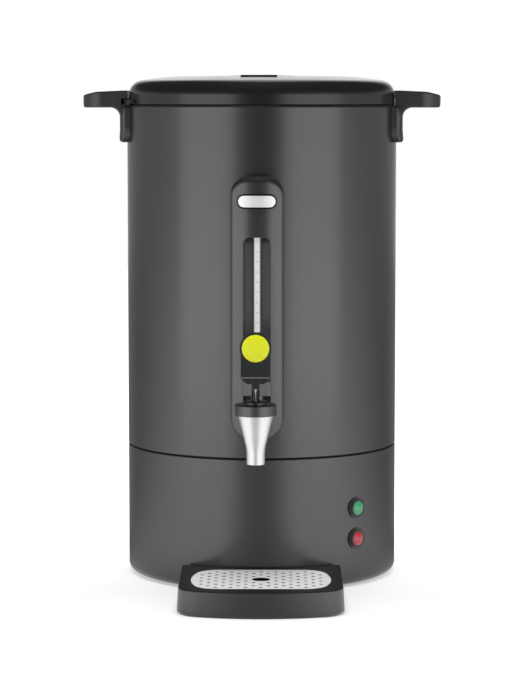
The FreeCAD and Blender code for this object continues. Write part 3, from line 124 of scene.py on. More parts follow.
def faceNormal(tree):
    return addNode(tree, "ShaderNodeNewGeometry").outputs["Normal"]


# the socket that takes a value, and the one for an output of that name
socketKinds = {"float": "Float", "int": "Int", "tuple": "Vector", "Object": "Object",
               "Material": "Material", "Normal": "Vector", "Geometry": "Geometry"}


def newTree(name, kind, inputs, outputs):
    # A tree with one named input for each value, of the value's own kind
    tree = bpy.data.node_groups.new(name, kind)
    for label, value in inputs.items():
        socket = "NodeSocket" + socketKinds[type(value).__name__]
        tree.interface.new_socket(name=label, in_out="INPUT", socket_type=socket).default_value = value
    for label in outputs:
        socket = "NodeSocket" + socketKinds.get(label, "Float")
        tree.interface.new_socket(name=label, in_out="OUTPUT", socket_type=socket)
    return tree, addNode(tree, "NodeGroupInput").outputs


# Camera

cameraSetting = {
    "distance": 2.5416,      # from the axis of the urn
    "azimuth": 1.755,        # degrees round the urn, 0 is square in front of the tap
    "height": 0.4744,
    "tiltDown": 5.681,
    "turn": 1.74,
    "lens": 130.6,
    "sensor": 36.0,
    "farthest": 50.0,
}


def setCamera(setting):
    data = bpy.data.cameras.new("urnCamera")
    data.sensor_width = setting["sensor"]
    data.lens = setting["lens"]
    data.clip_end = setting["farthest"]
    camera = addObject("urnCamera", data)
    angle = math.radians(setting["azimuth"])
    reach = setting["distance"]
    camera.location = (reach * math.sin(angle), -reach * math.cos(angle), setting["height"])
    camera.rotation_euler = (math.radians(90.0 - setting["tiltDown"]), 0.0, math.radians(setting["turn"]))
    bpy.context.scene.camera = camera


setCamera(cameraSetting)
print("camera set in front of the tap")


# Studio: two tall soft boxes, one from above, a white floor and a white surround

studio = {
    "boxAngle": 44.0,        # degrees either side of the front
    "boxDistance": 1.45,
    "boxMiddle": 0.39,
    "boxSize": (1.30, 0.76),
    "boxPower": 2.55,
    "topPlace": (0.0, -0.35, 1.9),
    "topTarget": (0.0, 0.0, 0.3),
    "topSize": (0.9, 0.9),
    "topPower": 23.0,
    "fillLevel": 0.40,       # even light from all round
    # what mirrors see goes from a dark gap in front over the side and the far side to the back:
    # the degrees from the front between which each gives way to the next, and how bright each is
    "turns": ((6.0, 30.0), (53.0, 130.0), (158.0, 176.0)),
    "levels": (0.03, 0.95, 0.45),
    "over": (0.08, 0.30),    # the front and the sides darken upwards
    "overLevel": 0.03,
    "back": (0.80, 0.98, 1.5, 0.2),           # the white behind the urn stays white up to the top
    "floorLevels": (0.58, 1.7, 0.27, 0.30),   # the floor by the same directions
    "floorShade": (0.13, 0.38, 0.50, 1.0),    # and in the shade of the urn, by the distance from it
    "floorSize": 9.0,
    "floorColour": 0.8,
    "nearWhite": (-0.16, 0.12, 0.335, 0.82),  # the white that a shadow doesn't take, front to back
    "farRange": (0.3, 0.9),                   # and far away
    "farWhite": 1.0,
    "floorTake": 0.70,
}


def addSoftBox(name, place, target, size, power, mirrored=True):
    data = bpy.data.lights.new(name, "AREA")
    data.shape = "RECTANGLE"
    data.size, data.size_y = size
    data.energy = power
    lamp = addObject(name, data)
    lamp.location = place
    lamp.rotation_euler = (Vector(target) - Vector(place)).to_track_quat("-Z", "Y").to_euler()
    lamp.visible_camera = False
    lamp.visible_glossy = mirrored


def surroundLevel(tree, x, y, turns, levels):
    # How bright the surround is in a direction
    turn = addMath(tree, "ARCTAN2", x, multiply(tree, y, -1.0))
    angle = addMath(tree, "DEGREES", addMath(tree, "ABSOLUTE", turn))
    level = levels[0]
    for ends, after in zip(turns, levels[1:]):
        level = mapRange(tree, angle, *ends, level, after, smooth=True)
    return level


def rayKinds(tree):
    # Whether a place is seen straight by the camera, and whether it is seen by mirroring or through glass
    path = addNode(tree, "ShaderNodeLightPath").outputs
    mirrored = addMath(tree, "MAXIMUM", path["Is Glossy Ray"], path["Is Transmission Ray"])
    return path["Is Camera Ray"], mirrored


def emptyTree(holder):
    holder.use_nodes = True
    holder.node_tree.nodes.clear()
    return holder.node_tree


def buildSurround(setting):
    world = bpy.data.worlds.new("whiteSurround")
    bpy.context.scene.world = world
    tree = emptyTree(world)
    x, y, height = splitXYZ(tree, addNode(tree, "ShaderNodeTexCoord").outputs["Generated"])
    levels = [mapRange(tree, height, *setting["over"], level, setting["overLevel"], smooth=True)
              for level in setting["levels"]]
    levels.append(mapRange(tree, height, *setting["back"], smooth=True))
    level = surroundLevel(tree, x, y, setting["turns"], levels)
    direct, mirrored = rayKinds(tree)
    seen = pick(tree, direct, pick(tree, mirrored, setting["fillLevel"], level), 1.0)
    background = addNode(tree, "ShaderNodeBackground", {"Color": white, "Strength": seen})
    addNode(tree, "ShaderNodeOutputWorld", {"Surface": background.outputs[0]})


def floorFinish(setting):
    material = bpy.data.materials.new("whiteFloor")
    tree = emptyTree(material)
    place = objectPlace(tree)
    x, y = splitXYZ(tree, place)[:2]
    level = surroundLevel(tree, x, y, setting["turns"], setting["floorLevels"])
    direct, mirrored = rayKinds(tree)
    away = vectorMath(tree, "LENGTH", place)["Value"]
    shaded = mapRange(tree, away, *setting["floorShade"], smooth=True)
    glow = multiply(tree, mirrored, multiply(tree, level, shaded))
    near = mapRange(tree, y, *setting["nearWhite"], smooth=True)
    clean = mapRange(tree, away, *setting["farRange"], near, setting["farWhite"], smooth=True)
    seen = pick(tree, direct, glow, clean)
    emission = addNode(tree, "ShaderNodeEmission", {"Color": white, "Strength": seen})
    plain = multiply(tree, addMath(tree, "SUBTRACT", 1.0, mirrored), setting["floorColour"])
    shade = pick(tree, direct, plain, setting["floorTake"])
    grey = addNode(tree, "ShaderNodeCombineColor", dict.fromkeys(("Red", "Green", "Blue"), shade))
    diffuse = addNode(tree, "ShaderNodeBsdfDiffuse", {"Color": grey.outputs[0]})
    both = addNode(tree, "ShaderNodeAddShader", {0: emission.outputs[0], 1: diffuse.outputs[0]})
    addNode(tree, "ShaderNodeOutputMaterial", {"Surface": both.outputs[0]})
    return material


def buildFloor(setting):
    half = setting["floorSize"] / 2
    mesh = bpy.data.meshes.new("studioFloor")
    corners = [(-half, -half, 0.0), (half, -half, 0.0), (half, half, 0.0), (-half, half, 0.0)]
    mesh.from_pydata(corners, [], [(0, 1, 2, 3)])
    mesh.materials.append(floorFinish(setting))
    floor = addObject("studioFloor", mesh)


def buildStudio(setting):
    reach, middle = setting["boxDistance"], setting["boxMiddle"]
    for name, side in (("softBoxLeft", -1.0), ("softBoxRight", 1.0)):
        angle = math.radians(setting["boxAngle"]) * side
        place = (reach * math.sin(angle), -reach * math.cos(angle), middle)
        addSoftBox(name, place, (0.0, 0.0, middle), setting["boxSize"], setting["boxPower"])
    addSoftBox("softBoxTop", setting["topPlace"], setting["topTarget"], setting["topSize"],
               setting["topPower"], mirrored=False)
    buildSurround(setting)
    buildFloor(setting)
    bpy.context.scene.view_settings.view_transform = "Standard"


buildStudio(studio)
print("soft boxes, surround and floor set")


# Effects that the finishes share, each one a group with its own inputs

# detail and roughness of each pattern
patterns = {
    "peel": (2.0, 0.5),
    "grain": (1.0, 0.5),
    "cloud": (3.0, 0.6),
    "lines": (4.0, 0.65),
    "wide": (2.0, 0.5),
    "patch": (3.0, 0.6),
    "streak": (3.0, 0.7),
    "dust": (4.0, 0.7),
    "spots": (3.0, 0.7),
}

# between which levels of its pattern each effect sets in, and from what to what if not from 0 to 1
limits = {
    "cloud": (0.32, 0.68),
    "speck": (0.62, 0.74),
    "tone": (0.3, 0.7),
    "patch": (0.42, 0.7),
    "dust": (0.52, 0.75),
    "spots": (0.35, 0.6, 0.2, 1.0),
    "levelFace": (0.75, 1.0),
    # "wall" darkens upright faces: painted shade in holes
    "wall": (0.3, 0.6, 1.0, 0.0),
}


def newGroup(name, inputs, *outputs):
    return newTree(name, "ShaderNodeTree", inputs, outputs)


def closeGroup(tree, values):
    addNode(tree, "NodeGroupOutput", values)
    return tree


def noise(tree, vector, scale, pattern):
    detail, rough = patterns[pattern]
    inputs = {"Vector": vector, "Scale": scale, "Detail": detail, "Roughness": rough}
    return addNode(tree, "ShaderNodeTexNoise", inputs, noise_dimensions="3D").outputs["Fac"]


def makeSkinGroup():
    # Fine orange peel of sprayed paint and of moulded plastic
    inputs = {"Peel Scale": 700.0, "Grain Scale": 2600.0, "Grain Share": 0.35, "Cloud Scale": 9.0}
    tree, given = newGroup("mouldedSkin", inputs, "Height", "Cloud", "Speck")
    place = objectPlace(tree)
    peel = noise(tree, place, given["Peel Scale"], "peel")
    grain = noise(tree, place, given["Grain Scale"], "grain")
    cloud = noise(tree, place, given["Cloud Scale"], "cloud")
    return closeGroup(tree, {"Height": addMath(tree, "MULTIPLY_ADD", grain, given["Grain Share"], peel),
                             "Cloud": mapRange(tree, cloud, *limits["cloud"]),
                             "Speck": mapRange(tree, grain, *limits["speck"])})


def makeLinesGroup():
    # Brushed or turned lines: the pattern is squeezed along one direction
    inputs = {"Line Scale": 1.0, "Wide Scale": 0.23, "Wide Share": 0.5, "Squeeze": (6.0, 900.0, 900.0)}
    tree, given = newGroup("toolLines", inputs, "Height", "Tone")
    squeeze = addNode(tree, "ShaderNodeMapping", {"Vector": objectPlace(tree), "Scale": given["Squeeze"]})
    lines = noise(tree, squeeze.outputs[0], given["Line Scale"], "lines")
    wide = noise(tree, squeeze.outputs[0], multiply(tree, given["Line Scale"], given["Wide Scale"]), "wide")
    return closeGroup(tree, {"Height": addMath(tree, "MULTIPLY_ADD", wide, given["Wide Share"], lines),
                             "Tone": mapRange(tree, lines, *limits["tone"])})


def makeHandlingGroup():
    # Where hands and cloths have been, and the dust that settles on level faces
    inputs = {"Patch Scale": 22.0, "Streak Scale": 160.0, "Dust Scale": 420.0}
    tree, given = newGroup("handlingMarks", inputs, "Smudge", "Dust")
    place = objectPlace(tree)
    patches = noise(tree, place, given["Patch Scale"], "patch")
    patch = mapRange(tree, patches, *limits["patch"], smooth=True)
    streak = noise(tree, place, given["Streak Scale"], "streak")
    level = mapRange(tree, splitXYZ(tree, faceNormal(tree))["Z"], *limits["levelFace"], smooth=True)
    motes = mapRange(tree, noise(tree, place, given["Dust Scale"], "dust"), *limits["dust"])
    return closeGroup(tree, {"Smudge": multiply(tree, patch, streak), "Dust": multiply(tree, level, motes)})


def makeEdgeGroup():
    # Rubbed and softened edges: where the face bends away within a small radius. The edge mask lightens the
    # colour there, as real rubbed wear and as a painted edge highlight
    inputs = {"Radius": 0.0008, "Strength": 4.0, "Spot Scale": 300.0}
    tree, given = newGroup("rubbedEdgesAndHighlight", inputs, "Edge", "Normal")
    soft = addNode(tree, "ShaderNodeBevel", {"Radius": given["Radius"]}, samples=4).outputs[0]
    away = addMath(tree, "SUBTRACT", 1.0, vectorMath(tree, "DOT_PRODUCT", soft, faceNormal(tree))["Value"])
    spots = noise(tree, objectPlace(tree), given["Spot Scale"], "spots")
    rubbed = mapRange(tree, spots, *limits["spots"])
    wearAndHighlight = multiply(tree, multiply(tree, away, given["Strength"]), rubbed)
    return closeGroup(tree, {"Edge": addMath(tree, "MINIMUM", wearAndHighlight, 1.0), "Normal": soft})


def makeZoneGroup():
    # A soft-edged block of space, for painted light that gathers in a recess and painted shade on an upward
    # face
    inputs = {"Blur": 0.001, "Low": (-1.0, -1.0, -1.0), "High": (1.0, 1.0, 1.0)}
    tree, given = newGroup("zone", inputs, "Mask")
    place = objectPlace(tree)
    depths = []
    for first, second in ((place, given["Low"]), (given["High"], place)):
        x, y, z = splitXYZ(tree, vectorMath(tree, "SUBTRACT", first, second)[0])
        depths.append(addMath(tree, "MINIMUM", addMath(tree, "MINIMUM", x, y), z))
    depth = addMath(tree, "DIVIDE", addMath(tree, "MINIMUM", *depths), given["Blur"])
    return closeGroup(tree, {"Mask": addMath(tree, "ADD", depth, 0.5, clamp=True)})


effects = {
    "skin": makeSkinGroup(),
    "lines": makeLinesGroup(),
    "handling": makeHandlingGroup(),
    "edge": makeEdgeGroup(),
    "zone": makeZoneGroup(),
}
print("shared surface effects built:", len(effects))


# Finishes

def effect(tree, name, values):
    return addNode(tree, "ShaderNodeGroup", values, node_tree=effects[name]).outputs


def startMaterial(name, plain):
    material = bpy.data.materials.new(name)
    material.use_nodes = True
    tree = material.node_tree
    return material, tree, feedAll(tree, tree.nodes["Principled BSDF"], plain)


def finishShader(tree, shader, look, inputs, height, normal=None):
    # The relief of the surface goes in with the other inputs
    bump = addNode(tree, "ShaderNodeBump", {
        "Normal": normal, "Strength": look["bump"], "Distance": look["bumpDepth"], "Height": height})
    feedAll(tree, shader, {**inputs, "Normal": bump.outputs[0]})


def mouldedFinish(name, look):
    # Sprayed paint, moulded plastic, rubber or fired clay
    material, tree, shader = startMaterial(name, look["plain"])
    skin, handling, edge = [effect(tree, kind, look[kind]) for kind in ("skin", "handling", "edge")]
    colour = mixColour(tree, skin["Cloud"], *look["colours"])
    # specks and dust are the surface's own; the edge layer is rubbed wear and a painted edge highlight
    for mask, layer in ((skin["Speck"], "speck"), (handling["Dust"], "dust"), (edge["Edge"], "edge")):
        share = multiply(tree, mask, look[layer + "Share"])
        colour = mixColour(tree, share, colour, look[layer + "Colour"])
    # blocks of painted light and painted shade: the lit floor of the housing's channel, the shaded top of
    # the bonnet
    for zone in look.get("zones", ()):
        colour = mixColour(tree, effect(tree, "zone", zone["block"])["Mask"], colour, zone["colour"])
    rough = pick(tree, handling["Smudge"], *look["roughness"])
    rough = addMath(tree, "MULTIPLY_ADD", skin["Cloud"], look["roughDrift"], rough)
    finishShader(tree, shader, look, {"Base Color": colour, "Roughness": rough}, skin["Height"],
                 edge["Normal"])
    return material


def metalFinish(name, look):
    # Brushed, turned or plated metal
    material, tree, shader = startMaterial(name, look["plain"])
    lines = effect(tree, "lines", {"Squeeze": look["squeeze"]})
    handling = effect(tree, "handling", look["handling"])
    colour = mixColour(tree, lines["Tone"], *look["colours"])
    stain = multiply(tree, handling["Smudge"], look["stainShare"])
    colour = mixColour(tree, stain, colour, look["stainColour"])
    # upright faces, the walls of the punched holes, are darkened: painted shade
    if "wallColour" in look:
        upright = addMath(tree, "ABSOLUTE", splitXYZ(tree, faceNormal(tree))["Z"])
        colour = mixColour(tree, mapRange(tree, upright, *limits["wall"]), colour, look["wallColour"])
    rough = pick(tree, lines["Tone"], *look["roughness"])
    rough = addMath(tree, "MULTIPLY_ADD", handling["Smudge"], look["smudgeRough"], rough)
    finishShader(tree, shader, look, {"Base Color": colour, "Roughness": rough}, lines["Height"])
    return material


def lensFinish(name, look):
    # Tinted acrylic with small moulded prisms that shine through
    material, tree, shader = startMaterial(name, {**look["plain"], "Emission Color": look["colour"]})
    inputs = {"Scale": look["ribScale"], "Randomness": look["ribDrift"], "Vector": objectPlace(tree)}
    cells = addNode(tree, "ShaderNodeTexVoronoi", inputs, feature="SMOOTH_F1").outputs["Distance"]
    deep = tuple(part * look["deepShare"] for part in look["colour"])
    near = mapRange(tree, cells, *look["ribEdge"])
    finishShader(tree, shader, look, {"Base Color": mixColour(tree, near, look["colour"], deep),
                                      "Roughness": pick(tree, near, *look["roughness"])}, cells)
    return material


def tubeFinish(name, look):
    # Clear tube, nearly invisible in the middle and darker where the wall is seen edge on
    material, tree, shader = startMaterial(name, look["plain"])
    lines = effect(tree, "lines", {"Squeeze": look["squeeze"]})
    handling = effect(tree, "handling", look["handling"])
    facing = addNode(tree, "ShaderNodeLayerWeight", {"Blend": look["blend"]}).outputs["Facing"]
    finishShader(tree, shader, look, {
        "Base Color": mixColour(tree, lines["Tone"], *look["colours"]),
        "Roughness": pick(tree, handling["Smudge"], *look["roughness"]),
        "Alpha": mapRange(tree, facing, *look["alpha"], smooth=True)}, lines["Height"])
    return material


# Looks of the finishes. One that is like another says only what is different.

fineSkin = {"Peel Scale": 900.0, "Grain Scale": 3200.0, "Grain Share": 0.5, "Cloud Scale": 16.0}

looks = {}

looks["charcoalPaint"] = {
    "make": mouldedFinish, "on": ("outer_shell", "base_skirt"),
    "plain": {"Specular IOR Level": 0.85},
    "colours": ((0.016, 0.016, 0.0165), (0.019, 0.019, 0.0195)),
    "speckColour": (0.045, 0.045, 0.046), "speckShare": 0.25,
    "dustColour": (0.20, 0.19, 0.18), "dustShare": 0.10,
    "edgeColour": (0.09, 0.09, 0.09), "edgeShare": 0.35,
    "skin": {"Peel Scale": 620.0, "Grain Scale": 2400.0, "Grain Share": 0.5, "Cloud Scale": 8.0},
    "handling": {"Patch Scale": 14.0, "Streak Scale": 120.0},
    "edge": {"Radius": 0.0009, "Strength": 3.0},
    "roughness": (0.23, 0.27), "roughDrift": 0.02, "bump": 0.25, "bumpDepth": 0.00002,
}

looks["bonnetPlastic"] = {
    "like": "charcoalPaint", "on": ("bonnet",),
    "colours": ((0.020, 0.020, 0.0205), (0.023, 0.023, 0.0235)),
    "edgeShare": 0.1,
    "roughness": (0.24, 0.29),
    "zones": (
        # the top of the bonnet, darkened to near black: painted shade on its upward face
        {"block": {"Low": (-0.03, -0.22, 0.1888), "High": (0.03, -0.15, 0.2), "Blur": 0.0005},
         "colour": (0.004, 0.004, 0.004)},
    ),
}

looks["housingPlastic"] = {
    "like": "bonnetPlastic", "on": ("front_housing",),
    "edgeShare": 0.35,
    "skin": fineSkin,
    "roughness": (0.23, 0.28),
    "zones": (
        # the floor of the channel behind the tube, which the side walls throw light on
        {"block": {"Low": (-0.0124, -0.15, 0.145), "High": (0.0124, -0.1, 0.3375), "Blur": 0.0035},
         "colour": (0.20, 0.20, 0.202)},
    ),
}

looks["trayPlastic"] = {
    "like": "charcoalPaint", "on": ("drip_tray",),
    "plain": {"Specular IOR Level": 1.0},
    "colours": ((0.012, 0.012, 0.0123), (0.015, 0.015, 0.0153)),
    "skin": fineSkin,
    "roughness": (0.34, 0.41),
}

looks["lidPlastic"] = {
    "like": "charcoalPaint", "on": ("lid_cap", "lid_grip"),
    "plain": {"Specular IOR Level": 0.6},
    "colours": ((0.010, 0.010, 0.0103), (0.012, 0.012, 0.0123)),
    "speckColour": (0.03, 0.03, 0.03), "speckShare": 0.15, "dustShare": 0.03,
    "skin": {"Peel Scale": 800.0, "Grain Scale": 3000.0, "Grain Share": 0.4, "Cloud Scale": 12.0},
    "roughness": (0.22, 0.27), "bump": 0.2,
}

looks["handlePlastic"] = {
    "like": "lidPlastic", "on": ("left_handle", "right_handle"),
    "colours": ((0.017, 0.017, 0.0174), (0.020, 0.020, 0.0204)),
    "roughness": (0.32, 0.38),
}

looks["leverPlastic"] = {
    "like": "lidPlastic", "on": ("tap_lever",),
    "plain": {"Specular IOR Level": 0.5},
    "colours": ((0.011, 0.011, 0.0115), (0.014, 0.014, 0.0145)),
    "edgeShare": 0.6,
    "roughness": (0.24, 0.32),
    "edge": {"Radius": 0.0009, "Strength": 4.0},
}

# light grey bead under the black lever: a painted highlight
looks["leverLip"] = {
    "like": "leverPlastic",
    "colours": ((0.15, 0.15, 0.152), (0.19, 0.19, 0.192)),
    "roughness": (0.20, 0.28),
}

# light grey, far lighter than the charcoal housing round it: painted light for the light the face of the
# channel catches
looks["gaugeGrey"] = {
    "like": "lidPlastic", "on": ("gauge_nut",),
    "colours": ((0.19, 0.19, 0.191), (0.21, 0.21, 0.211)),
    "roughness": (0.40, 0.48),
}

looks["matteBlack"] = {
    "like": "lidPlastic",
    "on": ("lamp_nuts", "rear_panel", "inlet_socket", "switch_housing",
                "switch_rocker", "tube_cap", "lid_liner"),
    "colours": ((0.022, 0.022, 0.023), (0.028, 0.028, 0.029)),
    "roughness": (0.50, 0.58), "bump": 0.4,
}

looks["bezelBlack"] = {
    "like": "matteBlack", "on": ("upper_lamp_bezel", "lower_lamp_bezel"),
    "colours": ((0.016, 0.016, 0.017), (0.021, 0.021, 0.022)),
    # the light grey on the bezel's edges is a painted highlight
    "edgeColour": (0.30, 0.30, 0.30),
    "roughness": (0.24, 0.32),
}

# near black with little shine: the rubber of the seam ring, and the painted shadow lines of the beads round
# the badge and under the lid
looks["seamRubber"] = {
    "like": "matteBlack", "on": ("seam_ring",),
    "plain": {"Specular IOR Level": 0.1},
    "colours": ((0.004, 0.004, 0.004), (0.006, 0.006, 0.006)),
    "speckShare": 0.0, "dustShare": 0.0, "edgeShare": 0.0,
    "roughness": (0.55, 0.65),
}

looks["footRubber"] = {
    "like": "matteBlack", "on": ("foot_ring",),
    "colours": ((0.018, 0.018, 0.019), (0.030, 0.030, 0.030)),
    "dustShare": 0.3,
    "roughness": (0.72, 0.82), "bump": 0.6, "bumpDepth": 0.00006,
}

looks["sealRubber"] = {
    "like": "matteBlack",
    "on": ("lid_gasket", "gauge_seal", "outer_gasket", "inner_gasket", "seat_cup"),
    "colours": ((0.34, 0.33, 0.31), (0.40, 0.39, 0.36)),
    "speckColour": (0.5, 0.49, 0.46), "edgeColour": (0.46, 0.45, 0.42),
    "roughness": (0.46, 0.56),
}

looks["sensorShell"] = {
    "like": "matteBlack", "on": ("thermostat", "thermal_cutout"),
    "colours": ((0.030, 0.026, 0.022), (0.040, 0.034, 0.028)),
    "roughness": (0.34, 0.44),
}

looks["firedClay"] = {
    "like": "matteBlack", "on": ("terminal_block",),
    "colours": ((0.66, 0.63, 0.56), (0.72, 0.69, 0.62)),
    "speckColour": (0.40, 0.36, 0.30), "speckShare": 0.5,
    "edgeColour": (0.78, 0.76, 0.70),
    "roughness": (0.50, 0.62), "bump": 0.6, "bumpDepth": 0.00008,
}

looks["limeEnamel"] = {
    "like": "matteBlack", "on": ("lever_cap",),
    "plain": {"Specular IOR Level": 0.5},
    "colours": ((0.85, 0.90, 0.012), (0.88, 0.93, 0.016)),
    "speckColour": (0.92, 0.96, 0.10), "speckShare": 0.2, "dustShare": 0.0,
    "edgeColour": (0.82, 0.90, 0.06), "edgeShare": 0.5,
    "roughness": (0.26, 0.34), "bump": 0.15,
}

looks["scaleEnamel"] = {
    "like": "matteBlack",
    # the strip glows a little by emission: painted light
    "plain": {"Specular IOR Level": 0.5, "Emission Color": (1.0, 1.0, 0.99),
              "Emission Strength": 0.22},
    "colours": ((0.88, 0.88, 0.87), (0.92, 0.92, 0.91)),
    "speckColour": (0.8, 0.8, 0.8), "edgeColour": (0.92, 0.92, 0.91),
    "roughness": (0.30, 0.38), "bump": 0.15,
}

looks["scaleInk"] = {
    "like": "matteBlack",
    "colours": ((0.68, 0.68, 0.69), (0.74, 0.74, 0.75)),
    "roughness": (0.45, 0.5),
}

looks["turnedSteel"] = {
    "make": metalFinish, "on": ("shank_nut",),
    "plain": {"Metallic": 0.68},
    "colours": ((0.69, 0.69, 0.70), (0.73, 0.73, 0.74)),
    "stainColour": (0.48, 0.47, 0.46), "stainShare": 0.2,
    "squeeze": (3.0, 3.0, 1500.0),
    "handling": {"Patch Scale": 60.0, "Streak Scale": 260.0},
    "roughness": (0.24, 0.31), "smudgeRough": 0.06, "bump": 0.02, "bumpDepth": 0.000006,
}

looks["spoutSteel"] = {
    "like": "turnedSteel", "on": ("nozzle",),
    "plain": {"Metallic": 0.5},
    "colours": ((0.74, 0.74, 0.75), (0.76, 0.76, 0.77)),
    "stainShare": 0.08,
    "squeeze": (3.0, 3.0, 900.0),
    "roughness": (0.22, 0.24), "smudgeRough": 0.03, "bump": 0.01,
}

looks["castSteel"] = {
    "like": "turnedSteel", "on": ("tap_body",),
    "plain": {"Metallic": 1.0},
    "colours": ((0.16, 0.16, 0.16), (0.20, 0.20, 0.20)),
    "stainColour": (0.12, 0.12, 0.12),
    "squeeze": (220.0, 220.0, 220.0),
    "roughness": (0.48, 0.60),
}

looks["tankSteel"] = {
    "like": "turnedSteel",
    "on": ("inner_tank", "pump_tube", "coffee_basket", "basket_cover", "tie_rods"),
    "plain": {"Metallic": 0.45},
    "colours": ((0.60, 0.60, 0.59), (0.70, 0.70, 0.69)),
    "squeeze": (2.0, 2.0, 700.0),
    "handling": {"Patch Scale": 16.0, "Streak Scale": 90.0},
    "roughness": (0.28, 0.40), "bump": 0.2,
}

looks["plateSteel"] = {
    "like": "turnedSteel", "on": ("drip_plate",),
    "plain": {"Metallic": 0.1},
    "colours": ((0.88, 0.88, 0.88), (0.94, 0.94, 0.94)),
    "stainColour": (0.82, 0.82, 0.81),
    # the hole walls are darkened: painted shade
    "wallColour": (0.10, 0.10, 0.10),
    "squeeze": (14.0, 1300.0, 900.0),
    "roughness": (0.42, 0.54), "bump": 0.2,
}

looks["stemSteel"] = {
    "like": "turnedSteel", "on": ("valve_stem", "valve_spring", "lever_pin"),
    "plain": {"Metallic": 1.0},
    "colours": ((0.72, 0.72, 0.72), (0.80, 0.80, 0.80)),
    "roughness": (0.30, 0.38),
}

looks["zincPlate"] = {
    "like": "turnedSteel",
    "on": ("base_screws", "tie_nuts", "panel_screws", "handle_screws",
                "housing_screws", "grip_screws", "liner_screws", "base_plate"),
    "plain": {"Metallic": 1.0},
    "colours": ((0.42, 0.43, 0.45), (0.52, 0.53, 0.55)),
    "stainColour": (0.40, 0.36, 0.28), "stainShare": 0.35,
    "squeeze": (260.0, 260.0, 260.0),
    "roughness": (0.32, 0.48), "bump": 0.25,
}

looks["heaterSteel"] = {
    "like": "turnedSteel", "on": ("well_heater", "keep_warm_element"),
    "plain": {"Metallic": 1.0},
    "colours": ((0.30, 0.27, 0.24), (0.38, 0.33, 0.28)),
    "stainColour": (0.20, 0.15, 0.13), "stainShare": 0.6,
    "squeeze": (120.0, 120.0, 120.0),
    "roughness": (0.42, 0.55),
}

looks["brassPins"] = {
    "like": "turnedSteel", "on": ("inlet_pins",),
    "plain": {"Metallic": 1.0},
    "colours": ((0.66, 0.52, 0.27), (0.72, 0.58, 0.32)),
    "stainColour": (0.42, 0.30, 0.15),
    "squeeze": (900.0, 20.0, 900.0),
}

looks["badgeMetal"] = {
    "like": "turnedSteel", "on": ("badge_plate",),
    "plain": {"Metallic": 0.55, "Anisotropic": 0.2},
    "colours": ((0.88, 0.88, 0.88), (0.94, 0.94, 0.94)),
    "stainShare": 0.1,
    "squeeze": (10.0, 60.0, 1600.0),
    "roughness": (0.34, 0.44), "bump": 0.15,
}

looks["greenLens"] = {
    "make": lensFinish, "on": ("green_lens",),
    "plain": {"Transmission Weight": 0.25, "IOR": 1.49, "Coat Weight": 0.4, "Coat Roughness": 0.05,
              "Emission Strength": 0.14},
    "colour": (0.070, 0.48, 0.22), "deepShare": 0.7,
    "ribScale": 320.0, "ribDrift": 0.15, "ribEdge": (0.1, 0.7),
    "roughness": (0.12, 0.24), "bump": 0.6, "bumpDepth": 0.0003,
}

looks["redLens"] = {
    "like": "greenLens", "on": ("red_lens",),
    "colour": (0.66, 0.055, 0.080),
}

looks["clearTube"] = {
    "make": tubeFinish, "on": ("sight_tube",),
    "plain": {"IOR": 1.47, "Specular IOR Level": 0.9},
    "colours": ((0.16, 0.16, 0.165), (0.11, 0.11, 0.115)),
    "blend": 0.5, "alpha": (0.12, 0.72, 0.03, 0.80),
    "squeeze": (600.0, 600.0, 8.0),
    "handling": {"Patch Scale": 90.0},
    "roughness": (0.05, 0.12), "bump": 0.05, "bumpDepth": 0.00001,
}

finishes = {}
for name, look in looks.items():
    if "like" in look:
        look = looks[name] = {**looks[look["like"]], "on": (), **look}
    finishes[name] = look["make"](name, look)
    for wearer in look["on"]:
        for holder in nodes[wearer].material_slots:
            holder.material = finishes[name]
print("finishes laid on", sum(len(look["on"]) for look in looks.values()), "pieces of the frame")


# Pieces made here. Each is a mesh in the urn's own place, with its object at the origin.

def addPiece(name, mesh, body, finish, stands=()):
    piece = addObject(name, mesh)
    if not mesh.materials:
        mesh.materials.append(finishes[finish])
    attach(piece, body)
    if stands:
        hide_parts(*stands)
    return piece


def roundTurns(sides):
    return [2 * math.pi * side / sides for side in range(sides)]


def pairsRound(ring):
    return zip(ring, ring[1:] + ring[:1])


def wallBetween(build, low, high):
    for (first, second), (third, fourth) in zip(pairsRound(low), pairsRound(high)):
        build.faces.new((first, second, fourth, third))


def prism(build, outline, low, high):
    rings = [[build.verts.new((x, y, level)) for x, y in outline] for level in (low, high)]
    wallBetween(build, *rings)
    build.faces.new(rings[0][::-1])
    build.faces.new(rings[1])
    return rings


def finishMesh(build, name):
    bmesh.ops.recalc_face_normals(build, faces=build.faces)
    mesh = bpy.data.meshes.new(name)
    build.to_mesh(mesh)
    build.free()
    return mesh


def loopObject(name, points):
    # A closed loop of mesh edges
    mesh = bpy.data.meshes.new(name)
    mesh.from_pydata(points, list(pairsRound(list(range(len(points))))), [])
    return addObject(name, mesh)


def treeValues(setting):
    # What a tree takes as its inputs is written with a capital
    return {label: value for label, value in setting.items() if label[0].isupper()}


def newShape(name, values):
    return newTree(name, "GeometryNodeTree", values, ("Geometry",))


def shapeNode(tree, kind, inputs=None, **settings):
    # A geometry node, by its first output
    return addNode(tree, "GeometryNode" + kind, inputs, **settings).outputs[0]


